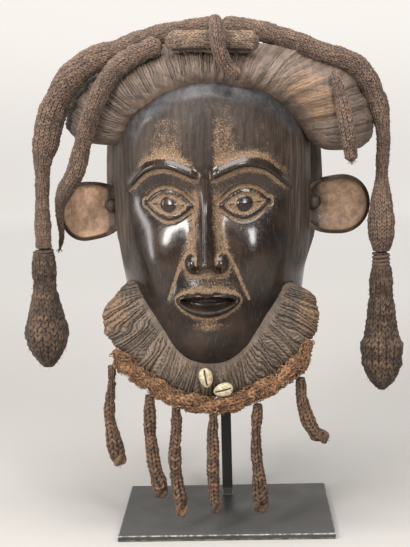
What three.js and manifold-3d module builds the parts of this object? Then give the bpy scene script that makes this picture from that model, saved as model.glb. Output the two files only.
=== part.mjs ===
// A Bamileke helmet mask: carved wood with plaited fibre locks and a fringed collar, on its display stand.
// Millimetres, +Z up. The mask looks along -Y. The origin is the middle of the base plate's underside.

import * as THREE from 'three';
import { mergeVertices } from 'three/addons/utils/BufferGeometryUtils.js';
import { ParametricGeometry } from 'three/addons/geometries/ParametricGeometry.js';
import Module from 'manifold-3d';

const wasm = await Module();
wasm.setup();

// Driving dimensions

const GAP = 0.3; // play between pieces that touch
const PLATE = { width: 200, depth: 150, thickness: 5, edge: 0.6 };
const BAR = { side: 10, x: 0, y: 46 };
const PAD = { width: 44, front: -18, thickness: 3 }; // the rest on top of the bar, inside the crown
const CEILING = 430; // the flat inside of the crown, which sits on the pad
const PLACE = { x: -7, turn: -3 }; // the mask stands a little left and is turned a few degrees

// The face stands on thirds: hairline to brow, brow to nose base, nose base to chin
const CHIN_Z = 165;
const THIRD = 85;
const NOSE_Z = CHIN_Z + THIRD;
const BROW_Z = NOSE_Z + THIRD;
const EYE = { x: 34, z: BROW_Z - 26, width: 20, height: 11, pupil: 7.5, around: 14 };
const BROW = { rise: 13, thick: 3.6, proud: 1.2, from: 7, to: 74, steps: 9, sides: 6 };
const NOSE = { root: BROW_Z - 14, tip: NOSE_Z + 9, width: 19, height: 26 };
const MOUTH = { z: NOSE_Z - THIRD / 3, width: 29, open: 5, upper: 11, lower: 13, around: 20 };

// The head by height: half width, depth to the front and to the back of the middle, and how pointed it is
const HEAD = {
  bottom: 140,
  top: 442,
  pole: -10,
  width: [[140, 62], [180, 74], [230, 84], [300, 92], [350, 93], [400, 87], [442, 60]],
  front: [
    [140, 36], [158, 62], [168, 76], [185, 83], [230, 80],
    [300, 78], [345, 84], [385, 82], [420, 68], [442, 44],
  ],
  back: [[140, 58], [200, 78], [260, 92], [330, 98], [390, 92], [442, 60]],
  // The half width of the helmet's back, wider than the face before it
  backWidth: [
    [140, 62], [200, 76], [235, 86], [255, 95], [275, 101],
    [300, 100], [330, 97], [360, 94], [400, 87], [442, 60],
  ],
  point: [[140, 2.4], [185, 1.7], [230, 1.25], [280, 1], [442, 1]],
};
const HEAD_ROWS = [[140, 0], [200, 4], [240, 6], [264, 6], [325, 8], [352, 4], [442, 4]];
const HEAD_COLUMNS = { front: 24, back: 8, crowding: 1.16 };
const NECK_CUT = { frontY: -50, frontZ: 146, backY: 100, backZ: 236 }; // the neck opening's sloping rim

// The hollow inside, walls 12 to 16 thick
const HOLLOW = {
  bottom: 100,
  width: [[100, 60], [200, 62], [260, 74], [320, 79], [380, 76], [430, 60]],
  front: [[100, 32], [170, 34], [210, 52], [260, 63], [340, 65], [390, 60], [430, 42]],
  back: [[100, 62], [200, 63], [260, 77], [330, 84], [390, 78], [430, 64]],
  rows: 7,
  columns: 18,
};

// The hair over the forehead: an arch of thick section that ends in a lobe at each temple
const HAIR = {
  z: 350, // the arch is drawn about this height, by degrees from straight up, left below zero
  outer: [
    [-84, 134], [-66, 134], [-57, 130.5], [-47, 119], [-24, 104], [0, 101],
    [22, 104.5], [40, 117], [49, 125], [55, 134], [61, 142.5], [68, 146], [76, 148.5], [87, 149],
  ],
  inner: [
    [-80, 68], [-63, 61], [-45, 48], [-25, 49], [0, 53],
    [25, 54], [43, 66], [57, 73], [70, 81], [87, 95],
  ],
  from: -83,
  to: 89,
  middleY: -28,
  halfDepth: 50,
  lobePull: 13, // how much shallower and further back the lobes are
  roundEnd: 9, // degrees over which an end rounds off
  locks: 24,
  lock: 2.2,
  around: 12,
};

// The cap of hair over the back of the head
const CAP = {
  top: 455,
  floor: 330,
  y: 10,
  halfWidth: 102,
  frontWidth: 86,
  halfDepth: 97,
  frontDepth: 60,
  backEdge: 262,
  sideEdge: 300,
  frontEdge: 400,
  spread: 218, // degrees round the back that have locks
  rows: 7,
  locks: 12,
  lock: 3,
  square: 0.62,
};

// The carved beard ruff, drawn about the middle of the face by degrees from straight down
const RUFF = {
  z: 250,
  inner: 58,
  outer: [
    [-80, 78], [-74, 91.5], [-69, 106.5], [-65, 113], [-58, 116.5], [-44, 114.5], [-28, 114.5],
    [-12, 118.5], [4, 119.5], [24, 115.5], [42, 115], [58, 112.5], [66, 106], [72, 98], [76, 79],
  ],
  y: [[-80, -30], [-45, -49], [0, -62], [45, -49], [80, -30]],
  half: 13,
  from: -80,
  to: 77,
  roundEnd: 7,
  locks: 19,
  lock: 2,
  around: 8,
};
const COLLAR = { radius: 6.8, from: -50, to: 53, steps: 21, out: 3.4, forward: 10, sides: 8 };

const EAR = {
  x: 120,
  y: 0,
  z: 300,
  round: 26.5,
  root: 12, // how far the paddle runs in to the head
  thickness: 9,
  bowl: 5.5,
  rim: 2.4,
  sweep: 0.14,
  around: 16,
  // Where each paddle is fuller: the middle and width in degrees round it, and how far
  swell: { left: { at: -65, width: 45, by: 4 }, right: { at: 60, width: 60, by: 2.5 } },
  knob: { x: 96, y: -4, z: 304, radius: 6.5 },
};

const COWRIE = { length: 18, width: 12.5, height: 8 };
const COWRIES = [
  { name: 'cowrie_upper', beta: -2.2, rho: 96.5, tilt: 100 },
  { name: 'cowrie_lower', beta: 6, rho: 109, tilt: 14 },
];

// Colours, roughness and metalness
const FINISH = {
  wood: [0x1d1410, 0.38, 0],
  lock: [0x3a2c22, 0.95, 0],
  collar: [0x4a2a1b, 0.95, 0],
  tassel: [0x3b271b, 0.95, 0],
  shell: [0xcbb694, 0.45, 0],
  steel: [0x23241f, 0.55, 0.6],
};

// Free fibre pieces: points along the middle with the radius there, hand placed in the stand's own frame
const BRAIDS = [
  {
    name: 'braid_left_outer',
    route: [
      [0.8, -8, 468, 9], [-27, -9, 464.6, 9.2], [-50, -21, 459.6, 10], [-67, -37, 453.2, 10.4],
      [-86, -47.4, 444.7, 11], [-104.9, -48.8, 439.5, 11.5], [-121, -45.7, 431.5, 12],
      [-134.3, -42.5, 418.3, 12.2], [-145, -36, 402, 12], [-152.5, -32, 386, 12.6],
      [-157.2, -30, 368, 12.4], [-161.2, -29, 352, 9.2], [-162.7, -28, 333, 7], [-164, -27.5, 308, 6.8],
      [-164.5, -27, 287, 7.6], [-164.5, -27, 266.6, 7.6],
    ],
    steps: 24,
    sides: 8,
  },
  {
    name: 'braid_left_inner',
    route: [
      [-47.4, -61.5, 450.4, 8], [-55.3, -62.5, 446.9, 8.6], [-72, -63, 440, 8.8],
      [-88.5, -63.5, 428.5, 8.6], [-100, -65.2, 413, 8.2], [-107.3, -62.8, 398.5, 8],
      [-115, -55.8, 381, 7.8], [-122.5, -49.2, 360, 7.8],
      [-129.8, -45.5, 338, 8.6], [-141.2, -36.5, 321, 7.4], [-147.6, -24, 308, 5.4], [-150, -14, 292, 3.4],
      [-150, -8, 277, 2.6], [-153, -4, 264, 2],
    ],
    steps: 21,
    sides: 8,
  },
  {
    name: 'braid_centre',
    route: [
      [-2, -36, 462.5, 6.2], [-1, -56, 465, 6.2], [0, -71, 466.8, 6.2], [1.5, -86.6, 463.5, 6.2],
      [2.5, -94, 451.5, 6.2], [5, -92.8, 439.8, 6.4], [9, -88.6, 431.2, 6.4], [14.6, -86, 424, 6.2],
      [20.5, -84.8, 417.5, 5.6],
    ],
    steps: 14,
    sides: 8,
  },
  {
    name: 'braid_right_inner',
    route: [
      [103.5, -62.5, 421.5, 3.8], [107.3, -65.8, 409, 5], [110, -66.8, 396, 6], [112.5, -67.2, 384, 7],
      [114.6, -67.8, 372, 7.4], [116.3, -66.8, 361, 7], [117.6, -65, 351.5, 6.2], [118.2, -64.4, 343.5, 6.2],
    ],
    steps: 10,
    sides: 8,
  },
  {
    name: 'braid_right_outer',
    route: [
      [3.7, -8, 468, 9], [27.5, -8, 465, 9.2], [50, -17, 458.6, 9.2], [74.5, -30, 449.2, 9.2],
      [96, -35, 439.7, 9.2], [114.5, -33, 433.5, 9.4], [126, -31.5, 428, 9.8], [135.7, -30, 415.2, 10],
      [143.2, -28, 400, 9.8], [147.3, -28, 389, 8.7], [149.3, -27.5, 378, 7.5], [150.8, -27, 366, 6.6],
      [150.9, -27, 354, 6.1], [149.7, -28, 340, 6.3], [149.2, -28, 324, 6], [148.9, -28, 312, 8.4],
      [148.6, -28, 299, 10.8], [148.3, -28, 285, 12], [148.5, -28, 270, 11.2], [148.5, -28, 257, 7.2],
    ],
    steps: 28,
    sides: 8,
  },
];

const TASSELS = [
  {
    name: 'tassel_1',
    route: [
      [-102.5, -51, 160.2, 3.6], [-102.6, -50.5, 147, 4], [-104.8, -50, 131, 4.9], [-106.2, -49.5, 115, 5.6],
      [-105.3, -49, 104, 6.2], [-103.4, -49, 90, 7.6], [-101, -48.5, 78, 8.2], [-98.5, -48, 66, 6],
    ],
  },
  {
    name: 'tassel_2',
    route: [
      [-67.5, -61.5, 134.2, 4.6], [-68, -61, 117, 6], [-68.2, -60.5, 99, 6.2], [-66.8, -60, 83, 6.3],
      [-65, -60, 66, 7], [-61.8, -59.5, 52, 7.6], [-60.3, -59, 37.5, 6],
    ],
  },
  {
    name: 'tassel_3',
    route: [
      [-43.5, -66.5, 122.7, 4.2], [-43.3, -66, 114, 4.9], [-44.2, -65.5, 99, 5.3], [-45.7, -65, 84, 6.1],
      [-45.8, -65, 69, 6.3], [-44.5, -64.5, 53, 6.6], [-41.8, -64, 36, 6.8], [-41, -64, 21, 5],
    ],
  },
  {
    name: 'tassel_4',
    route: [
      [-9.5, -71.5, 118, 4], [-9.6, -71, 110, 4.9], [-10.6, -70, 99, 5.1], [-10.6, -69.5, 84, 6],
      [-11, -69, 69, 6.1], [-11, -68.5, 54, 6], [-10, -68, 37, 5.6], [-9.8, -68, 25, 4.6],
    ],
  },
  {
    name: 'tassel_5',
    route: [
      [31.5, -69.5, 126, 4.2], [30, -69, 114, 5.4], [29, -68, 99, 4.9], [28.9, -67, 84, 5.4],
      [29.8, -66, 69, 5.8], [30.9, -65.5, 54, 6.8], [31.9, -65, 38, 8], [32.2, -65, 24, 6],
    ],
  },
  {
    name: 'tassel_6',
    route: [
      [70.5, -64, 148.1, 4.6], [71, -63, 131, 5.6], [73.5, -61, 119, 6.4], [76, -60, 110, 6.5],
      [80, -59, 101, 6.6], [85.5, -58.5, 93.5, 6.8], [94, -58, 89.5, 6],
    ],
  },
];
const TASSEL = { steps: 9, sides: 8 };

const ROLL = {
  route: [
    [-42, -67.5, 450.5], [-21, -74.2, 450.8], [-3, -76.2, 450.1], [18, -74.4, 449.5], [37.5, -70, 448.3],
  ],
  radius: 9.4,
  steps: 8,
  sides: 10,
};

const BULBS = [
  {
    name: 'braid_left_outer_bulb',
    x: -165,
    y: -27,
    profile: [
      [266, 8.4], [260, 10.2], [244, 11.8], [229, 11.8], [219, 14], [207, 17],
      [196, 20.2], [185, 20.2], [174, 18.4], [163, 12.4], [155.5, 4.5],
    ],
  },
  {
    name: 'braid_right_outer_bulb',
    x: 148,
    y: -28,
    profile: [
      [256.5, 7], [247, 8], [236, 10.2], [213, 12.4], [190, 15.2], [179, 18],
      [167, 19.5], [156, 19.2], [145, 16.6], [134, 9.6], [128, 3.6],
    ],
  },
];

// Small mathematics

const RAD = Math.PI / 180;

function clamp(x, low, high) {
  return Math.min(high, Math.max(low, x));
}

function smooth(low, high, x) {
  const t = clamp((x - low) / (high - low), 0, 1);
  return t * t * (3 - 2 * t);
}

function bell(x) {
  return Math.exp(-x * x);
}

// A smooth line through a few points, which never overshoots them
function through(points, x) {
  const last = points.length - 1;
  if (x <= points[0][0]) return points[0][1];
  if (x >= points[last][0]) return points[last][1];
  const slope = (i) => (points[i + 1][1] - points[i][1]) / (points[i + 1][0] - points[i][0]);
  const tangent = (i) => {
    if (i === 0) return slope(0);
    if (i === last) return slope(last - 1);
    const before = slope(i - 1);
    const after = slope(i);
    return before * after <= 0 ? 0 : (2 * before * after) / (before + after);
  };
  let k = 0;
  while (x > points[k + 1][0]) k += 1;
  const span = points[k + 1][0] - points[k][0];
  const t = (x - points[k][0]) / span;
  const rise = points[k + 1][1] - points[k][1];
  const bend = tangent(k) * span;
  const next = tangent(k + 1) * span;
  const square = 3 * rise - 2 * bend - next;
  const cube = bend + next - 2 * rise;
  return points[k][1] + bend * t + square * t ** 2 + cube * t ** 3;
}

// Rounds an end: 0 at the tip, 1 once past the rounding
function roundOff(distance, length) {
  const t = clamp(1 - distance / length, 0, 1);
  return Math.sqrt(Math.max(0, 1 - t * t));
}

// Closed bodies

function bareMesh(geometry) {
  geometry.deleteAttribute('normal');
  geometry.deleteAttribute('uv');
  const merged = mergeVertices(geometry, 1e-4);
  const index = merged.index.array;
  const kept = [];
  for (let i = 0; i < index.length; i += 3) {
    const [a, b, c] = [index[i], index[i + 1], index[i + 2]];
    if (a !== b && b !== c && c !== a) kept.push(a, b, c);
  }
  merged.setIndex(kept);
  return merged;
}

function volumeOf(geometry) {
  const place = geometry.attributes.position;
  const index = geometry.index.array;
  const corner = [new THREE.Vector3(), new THREE.Vector3(), new THREE.Vector3()];
  let sum = 0;
  for (let i = 0; i < index.length; i += 3) {
    corner.forEach((point, k) => point.fromBufferAttribute(place, index[i + k]));
    sum += corner[0].dot(corner[1].clone().cross(corner[2])) / 6;
  }
  return sum;
}

function facingOut(geometry) {
  if (volumeOf(geometry) < 0) {
    const index = Array.from(geometry.index.array);
    for (let i = 0; i < index.length; i += 3) [index[i], index[i + 1]] = [index[i + 1], index[i]];
    geometry.setIndex(index);
  }
  return geometry;
}

// A closed skin from point(across, along): the first runs round the body, and each end row is one point
function skin(point, across, along) {
  const place = (u, v, target) => target.set(...point(Math.round(u * across), Math.round(v * along)));
  return facingOut(bareMesh(new ParametricGeometry(place, across, along)));
}

function solid(geometry) {
  return new wasm.Manifold(new wasm.Mesh({
    numProp: 3,
    vertProperties: new Float32Array(geometry.attributes.position.array),
    triVerts: new Uint32Array(geometry.index.array),
  }));
}

function geometryOf(body) {
  const { vertProperties, triVerts } = body.getMesh();
  const geometry = new THREE.BufferGeometry();
  geometry.setAttribute('position', new THREE.BufferAttribute(vertProperties, 3));
  geometry.setIndex(new THREE.BufferAttribute(triVerts, 1));
  return geometry;
}

// The face, as a height towards the front at x, z

function noseRelief(a, z) {
  const down = clamp((NOSE.root - z) / (NOSE.root - NOSE.tip), 0, 1);
  const under = smooth(NOSE_Z - 2, NOSE.tip - 2, z);
  const height = (4 + (NOSE.height - 4) * down ** 1.35) * smooth(NOSE.root + 16, NOSE.root - 2, z) * under;
  const half = 6 + 5 * down;
  const bridge = height * bell(a / half) ** 1.1;
  const wing = Math.hypot((a - NOSE.width + 7.5) / 8.6, (z - NOSE.tip + 1.5) / 9.5);
  const nostril = 13.5 * Math.sqrt(Math.max(0, 1 - wing * wing));
  return Math.max(bridge, nostril);
}

function faceRelief(x, z) {
  const a = Math.abs(x);
  const forehead = 3.5 * bell(a / 46) * bell((z - 380) / 32);
  const socket = -8 * bell((a - EYE.x) / 25) * bell((z - EYE.z - 2) / 17);
  const cheek = 9 * bell((a - 47) / 25) * bell((z - 262) / 32);
  const muzzle = 7 * bell(a / 35) * bell((z - MOUTH.z - 2) / 25);
  const chin = 6 * bell(a / 24) * bell((z - 183) / 16);
  const fold = -2.5 * bell(a / 22) * bell((z - 200) / 7);
  return forehead + socket + cheek + muzzle + chin + fold + noseRelief(a, z);
}

// The head, with the face on it

const headRows = HEAD_ROWS.slice(1).reduce((rows, [z, count], k) => {
  const start = HEAD_ROWS[k][0];
  for (let i = 1; i <= count; i += 1) rows.push(start + ((z - start) * i) / count);
  return rows;
}, [HEAD_ROWS[0][0]]);

function headAngle(column) {
  const back = HEAD_COLUMNS.back / 2;
  const past = column - back - HEAD_COLUMNS.front;
  if (column <= back) return -Math.PI + (Math.PI / 2) * (column / back);
  if (past >= 0) return Math.PI / 2 + (Math.PI / 2) * (past / back);
  const across = ((column - back) / HEAD_COLUMNS.front) * 2 - 1;
  return (Math.PI / 2) * Math.sign(across) * Math.abs(across) ** HEAD_COLUMNS.crowding;
}

function headPoint(angle, z) {
  const facing = Math.cos(angle);
  const width = through(HEAD.width, z);
  const flare = (through(HEAD.backWidth, z) - width) * smooth(0, 0.35, -facing);
  const x = (width + flare) * Math.sin(angle);
  if (facing <= 0) return [x, -through(HEAD.back, z) * facing, z];
  const base = through(HEAD.front, z) * facing ** through(HEAD.point, z);
  return [x, -base - faceRelief(x, z) * smooth(0, 0.35, facing), z];
}

function headBody() {
  const last = headRows.length - 1;
  const columns = HEAD_COLUMNS.front + HEAD_COLUMNS.back;
  const closed = [[0, HEAD.pole, HEAD.bottom], [0, HEAD.pole, HEAD.top]];
  const place = (i, k) => {
    if (k === 0) return closed[0];
    if (k === last + 2) return closed[1];
    return headPoint(headAngle(i % columns), headRows[k - 1]);
  };
  const head = solid(skin(place, columns, last + 2));
  return head.subtract(neckCut());
}

// Everything under the sloping rim
function neckCut() {
  const run = NECK_CUT.backY - NECK_CUT.frontY;
  const slope = (NECK_CUT.backZ - NECK_CUT.frontZ) / run;
  const [nearY, farY] = [-200, 200];
  const height = (y) => NECK_CUT.frontZ + slope * (y - NECK_CUT.frontY);
  const side = new THREE.Shape([
    new THREE.Vector2(nearY, height(nearY)),
    new THREE.Vector2(nearY, -100),
    new THREE.Vector2(farY, -100),
    new THREE.Vector2(farY, height(farY)),
  ]);
  const block = new THREE.ExtrudeGeometry(side, { depth: 400, bevelEnabled: false, steps: 1 });
  // The outline's first axis turns to +Y and its second to +Z, so the depth runs along +X
  block.rotateX(Math.PI / 2).rotateZ(Math.PI / 2).translate(-200, 0, 0);
  return solid(facingOut(bareMesh(block)));
}

function hollowBody() {
  const place = (i, k) => {
    if (k === 0) return [0, 10, HOLLOW.bottom];
    if (k === HOLLOW.rows + 2) return [0, 10, CEILING];
    const z = HOLLOW.bottom + ((CEILING - HOLLOW.bottom) * (k - 1)) / HOLLOW.rows;
    const angle = 2 * Math.PI * ((i % HOLLOW.columns) / HOLLOW.columns);
    const facing = Math.cos(angle);
    const depth = facing > 0 ? through(HOLLOW.front, z) : through(HOLLOW.back, z);
    return [through(HOLLOW.width, z) * Math.sin(angle), -depth * facing, z];
  };
  return solid(skin(place, HOLLOW.columns, HOLLOW.rows + 2));
}

// The y of the face's surface at x, z
function faceY(x, z) {
  return headPoint(Math.asin(clamp(x / through(HEAD.width, z), -1, 1)), z)[1];
}

// A feature that sits in the face: closed rings about one middle, each at its own height over the surface
function featureBody(rings, around, outline) {
  const place = (i, k) => {
    const [x, z] = outline((2 * Math.PI * (i % around)) / around, rings[k]);
    return [x, faceY(x, z) - rings[k].height, z];
  };
  return solid(skin(place, around, rings.length - 1));
}

// An almond eye: a round pupil on the ball, a groove and a raised rim
function eyeBody(side) {
  const rings = [
    { round: 0, height: 7.4 },
    { round: EYE.pupil * 0.7, height: 6.6 },
    { round: EYE.pupil, height: 4.4 },
    { almond: 0.84, height: 1.2 },
    { almond: 1, height: 4.4 },
    { almond: 1.15, height: -0.6 },
    { round: 0, height: -8 },
  ];
  return featureBody(rings, EYE.around, (angle, { round, almond }) => {
    const [across, up] = [Math.cos(angle), Math.sin(angle)];
    if (almond === undefined) return [side * (EYE.x + round * across), EYE.z + round * up];
    const lid = EYE.height * up * Math.abs(up) ** 0.7;
    return [side * (EYE.x + almond * EYE.width * across), EYE.z + almond * lid];
  });
}

// Two full lips round a parted mouth
function mouthBody() {
  const rings = [
    { wide: 0, share: 0, height: 0.4 },
    { wide: 0.78, share: 0, height: 0.4 },
    { wide: 0.84, share: 0.14, height: 4.8 },
    { wide: 0.92, share: 0.5, height: 6.6 },
    { wide: 1.02, share: 1, height: -0.6 },
    { wide: 0, share: 0, height: -8 },
  ];
  return featureBody(rings, MOUTH.around, (angle, { wide, share }) => {
    const up = Math.sin(angle);
    const reach = MOUTH.open + ((up > 0 ? MOUTH.upper : MOUTH.lower) - MOUTH.open) * share;
    const x = wide * MOUTH.width * Math.cos(angle);
    return [x, MOUTH.z + 2.5 * (x / MOUTH.width) ** 2 + (wide > 0 ? reach * up : 0)];
  });
}

function browBody(side) {
  const route = [];
  for (let k = 0; k <= BROW.steps; k += 1) {
    const a = BROW.from + ((BROW.to - BROW.from) * k) / BROW.steps;
    const z = BROW_Z - 4 + BROW.rise * bell((a - 38) / 26) - 10 * smooth(52, 78, a);
    route.push([side * a, faceY(side * a, z) - BROW.proud, z]);
  }
  const taper = (share) => BROW.thick * (0.45 + 0.55 * Math.sin(Math.PI * share));
  return solid(lock(route, BROW.steps, BROW.sides, taper));
}

// The hair

function hairSection(degrees) {
  const outer = through(HAIR.outer, degrees);
  const inner = through(HAIR.inner, degrees);
  const lobe = Math.min(1, Math.abs(degrees) / 75) ** 2;
  return {
    middle: (outer + inner) / 2,
    half: (outer - inner) / 2,
    y: HAIR.middleY + HAIR.lobePull * lobe,
    depth: HAIR.halfDepth - HAIR.lobePull * lobe,
  };
}

function hairBody() {
  const along = HAIR.locks * 2;
  const place = (i, k) => {
    const degrees = HAIR.from + ((HAIR.to - HAIR.from) * clamp(k - 1, 0, along)) / along;
    const section = hairSection(degrees);
    const end = Math.min(degrees - HAIR.from, HAIR.to - degrees);
    const tip = k === 0 || k === along + 2 ? 0 : 0.45 + 0.55 * roundOff(end, HAIR.roundEnd);
    const crest = k % 2 ? HAIR.lock : 0;
    const angle = (2 * Math.PI * (i % HAIR.around)) / HAIR.around;
    const rho = section.middle + (section.half + crest) * tip * Math.cos(angle);
    const y = section.y + (section.depth + crest) * tip * Math.sin(angle);
    return [rho * Math.sin(degrees * RAD), y, HAIR.z + rho * Math.cos(degrees * RAD)];
  };
  return solid(skin(place, HAIR.around, along + 2));
}

function capBody() {
  const frontColumns = 6;
  const backColumns = CAP.locks * 2;
  const columns = frontColumns + backColumns;
  const spread = CAP.spread * RAD;
  const place = (i, k) => {
    const step = i % columns;
    const angle = step <= backColumns
      ? -spread / 2 + (spread * step) / backColumns
      : spread / 2 + ((2 * Math.PI - spread) * (step - backColumns)) / frontColumns;
    const behind = Math.cos(angle);
    const side = smooth(-0.25, 0.12, behind);
    const edge = behind > 0
      ? CAP.sideEdge + (CAP.backEdge - CAP.sideEdge) * smooth(0, 0.5, behind)
      : CAP.sideEdge + (CAP.frontEdge - CAP.sideEdge) * smooth(0, 0.5, -behind);
    if (k === 0) return [0, CAP.y, CAP.top];
    if (k === CAP.rows + 1) return [0, CAP.y, CAP.floor];
    const fall = (Math.PI / 2) * (k / CAP.rows);
    const reach = Math.sin(fall) ** CAP.square;
    const crest = step % 2 && step < backColumns ? CAP.lock * smooth(0.1, 0.5, k / CAP.rows) : 0;
    const width = CAP.frontWidth + (CAP.halfWidth - CAP.frontWidth) * side + crest;
    const depth = behind > 0 ? CAP.halfDepth + crest : CAP.frontDepth;
    const z = edge + (CAP.top - edge) * Math.cos(fall) ** CAP.square;
    return [width * reach * Math.sin(angle), CAP.y + depth * reach * behind, z];
  };
  return solid(skin(place, columns, CAP.rows + 1));
}

// The beard ruff

function ruffSection(degrees) {
  const outer = through(RUFF.outer, degrees);
  return { middle: (outer + RUFF.inner) / 2, half: (outer - RUFF.inner) / 2, y: through(RUFF.y, degrees) };
}

// A point by its distance from the middle of the face and its degrees from straight down
function ruffPlace(rho, degrees, y) {
  return [rho * Math.sin(degrees * RAD), y, RUFF.z - rho * Math.cos(degrees * RAD)];
}

function ruffFront(degrees, rho) {
  const section = ruffSection(degrees);
  const out = clamp((rho - section.middle) / section.half, -1, 1);
  return section.y - (RUFF.half + RUFF.lock) * Math.sqrt(1 - out * out);
}

function ruffBody() {
  const along = RUFF.locks * 2;
  const place = (i, k) => {
    const degrees = RUFF.from + ((RUFF.to - RUFF.from) * clamp(k - 1, 0, along)) / along;
    const section = ruffSection(degrees);
    if (k === 0 || k === along + 2) return ruffPlace(section.middle, degrees, section.y);
    const end = Math.min(degrees - RUFF.from, RUFF.to - degrees);
    const tip = 0.5 + 0.5 * roundOff(end, RUFF.roundEnd);
    const crest = k % 2 ? RUFF.lock : 0;
    const angle = (2 * Math.PI * (i % RUFF.around)) / RUFF.around;
    const rho = section.middle + (section.half + crest) * Math.cos(angle);
    return ruffPlace(rho, degrees, section.y + (RUFF.half + crest) * tip * Math.sin(angle));
  };
  return solid(skin(place, RUFF.around, along + 2));
}

// An ear: a cupped paddle with a raised rim and a round knob at its root

function earBody(side) {
  const rings = [0, 0.45, 0.8, 0.93, 1, 0.8, 0];
  const last = rings.length - 1;
  const swell = side < 0 ? EAR.swell.left : EAR.swell.right;
  const place = (i, k) => {
    const degrees = (360 * (i % EAR.around)) / EAR.around;
    const angle = degrees * RAD;
    const off = Math.abs(((degrees - swell.at + 540) % 360) - 180);
    const fuller = swell.by * bell(off / swell.width);
    const radius = (EAR.round + fuller + EAR.root * Math.max(0, -Math.cos(angle)) ** 2) * rings[k];
    const out = radius * Math.cos(angle);
    const front = [EAR.bowl, EAR.bowl * 0.8, 0, -EAR.rim, 0];
    const depth = k < front.length ? front[k] : EAR.thickness - (k === last ? 0 : 1.5);
    return [side * (EAR.x + out), EAR.y + depth + EAR.sweep * out, EAR.z + radius * Math.sin(angle)];
  };
  const knob = new THREE.SphereGeometry(EAR.knob.radius, 8, 6);
  knob.translate(side * EAR.knob.x, EAR.knob.y, EAR.knob.z);
  return solid(skin(place, EAR.around, last)).add(solid(facingOut(bareMesh(knob))));
}

function maskBody() {
  const pairs = [-1, 1].flatMap((side) => [earBody(side), eyeBody(side), browBody(side)]);
  const parts = [hairBody(), capBody(), ruffBody(), mouthBody(), ...pairs];
  return parts.reduce((sum, part) => sum.add(part), headBody()).subtract(hollowBody());
}

// Fibre pieces

// A closed tube of changing radius along a route, with rounded ends
function lock(route, steps, sides, radiusAt) {
  const points = route.map(([x, y, z]) => new THREE.Vector3(x, y, z));
  const curve = new THREE.CatmullRomCurve3(points, false, 'centripetal');
  const frames = curve.computeFrenetFrames(steps, false);
  const place = (i, k) => {
    const step = clamp(k - 1, 0, steps);
    const centre = curve.getPointAt(step / steps);
    const radius = k === 0 || k === steps + 2 ? 0 : radiusAt(step / steps, curve);
    const angle = (2 * Math.PI * (i % sides)) / sides;
    centre.addScaledVector(frames.normals[step], radius * Math.cos(angle));
    centre.addScaledVector(frames.binormals[step], radius * Math.sin(angle));
    return [centre.x, centre.y, centre.z];
  };
  return skin(place, sides, steps + 2);
}

// The radius at a share of the curve's length, from the radii given at the route's points
function routeRadius(route) {
  return (share, curve) => {
    const t = curve.getUtoTmapping(share) * (route.length - 1);
    const k = Math.min(route.length - 2, Math.floor(t));
    return route[k][3] + (route[k + 1][3] - route[k][3]) * (t - k);
  };
}

function bulb({ profile }) {
  const outline = [
    new THREE.Vector2(0, profile[0][0]),
    ...profile.map(([z, radius]) => new THREE.Vector2(radius, z)),
    new THREE.Vector2(0, profile[profile.length - 1][0]),
  ];
  return facingOut(bareMesh(new THREE.LatheGeometry(outline, 10).rotateX(Math.PI / 2)));
}

function collar() {
  const route = [];
  for (let k = 0; k <= COLLAR.steps; k += 1) {
    const degrees = COLLAR.from + ((COLLAR.to - COLLAR.from) * k) / COLLAR.steps;
    const rho = through(RUFF.outer, degrees) + RUFF.lock + COLLAR.out;
    route.push(ruffPlace(rho, degrees, through(RUFF.y, degrees) - COLLAR.forward));
  }
  return lock(route, COLLAR.steps, COLLAR.sides, () => COLLAR.radius);
}

// The stand

function basePlate() {
  const { width, depth, thickness, edge } = PLATE;
  const outline = new THREE.Shape([
    new THREE.Vector2(-width / 2 + edge, -depth / 2 + edge),
    new THREE.Vector2(width / 2 - edge, -depth / 2 + edge),
    new THREE.Vector2(width / 2 - edge, depth / 2 - edge),
    new THREE.Vector2(-width / 2 + edge, depth / 2 - edge),
  ]);
  const bevel = { bevelEnabled: true, bevelThickness: edge, bevelSize: edge, bevelSegments: 1 };
  const plate = new THREE.ExtrudeGeometry(outline, { depth: thickness - 2 * edge, ...bevel });
  return facingOut(bareMesh(plate.translate(0, 0, edge)));
}

function standBar() {
  const foot = PLATE.thickness + GAP;
  const top = CEILING - GAP;
  const bar = new THREE.BoxGeometry(BAR.side, BAR.side, top - PAD.thickness / 2 - foot);
  bar.translate(BAR.x, BAR.y, (top - PAD.thickness / 2 + foot) / 2);
  const padBack = BAR.y + BAR.side / 2;
  const pad = new THREE.BoxGeometry(PAD.width, padBack - PAD.front, PAD.thickness);
  pad.translate(BAR.x, (padBack + PAD.front) / 2, top - PAD.thickness / 2);
  return geometryOf(solid(bareMesh(bar)).add(solid(bareMesh(pad))));
}

// The scene graph

const finishes = Object.fromEntries(Object.entries(FINISH).map(([name, [color, roughness, metalness]]) => [
  name,
  new THREE.MeshStandardMaterial({ color, roughness, metalness }),
]));

function piece(name, geometry, finish) {
  const mesh = new THREE.Mesh(geometry, finishes[finish]);
  mesh.name = name;
  return mesh;
}

function cowrie({ name, beta, rho, tilt }) {
  const shell = facingOut(bareMesh(new THREE.SphereGeometry(0.5, 10, 6)));
  const mesh = piece(name, shell, 'shell');
  mesh.scale.set(COWRIE.length, COWRIE.height, COWRIE.width);
  mesh.rotation.y = -tilt * RAD;
  mesh.position.set(...ruffPlace(rho, beta, ruffFront(beta, rho) - COWRIE.height / 2 - GAP));
  return mesh;
}

const object = new THREE.Group();
object.add(piece('base_plate', basePlate(), 'steel'));
object.add(piece('stand_bar', standBar(), 'steel'));

const carving = new THREE.Group();
carving.position.x = PLACE.x;
carving.rotation.z = PLACE.turn * RAD;
carving.add(piece('mask', geometryOf(maskBody()), 'wood'));
carving.add(piece('fibre_collar', collar(), 'collar'));
COWRIES.forEach((shell) => carving.add(cowrie(shell)));
object.add(carving);

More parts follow.
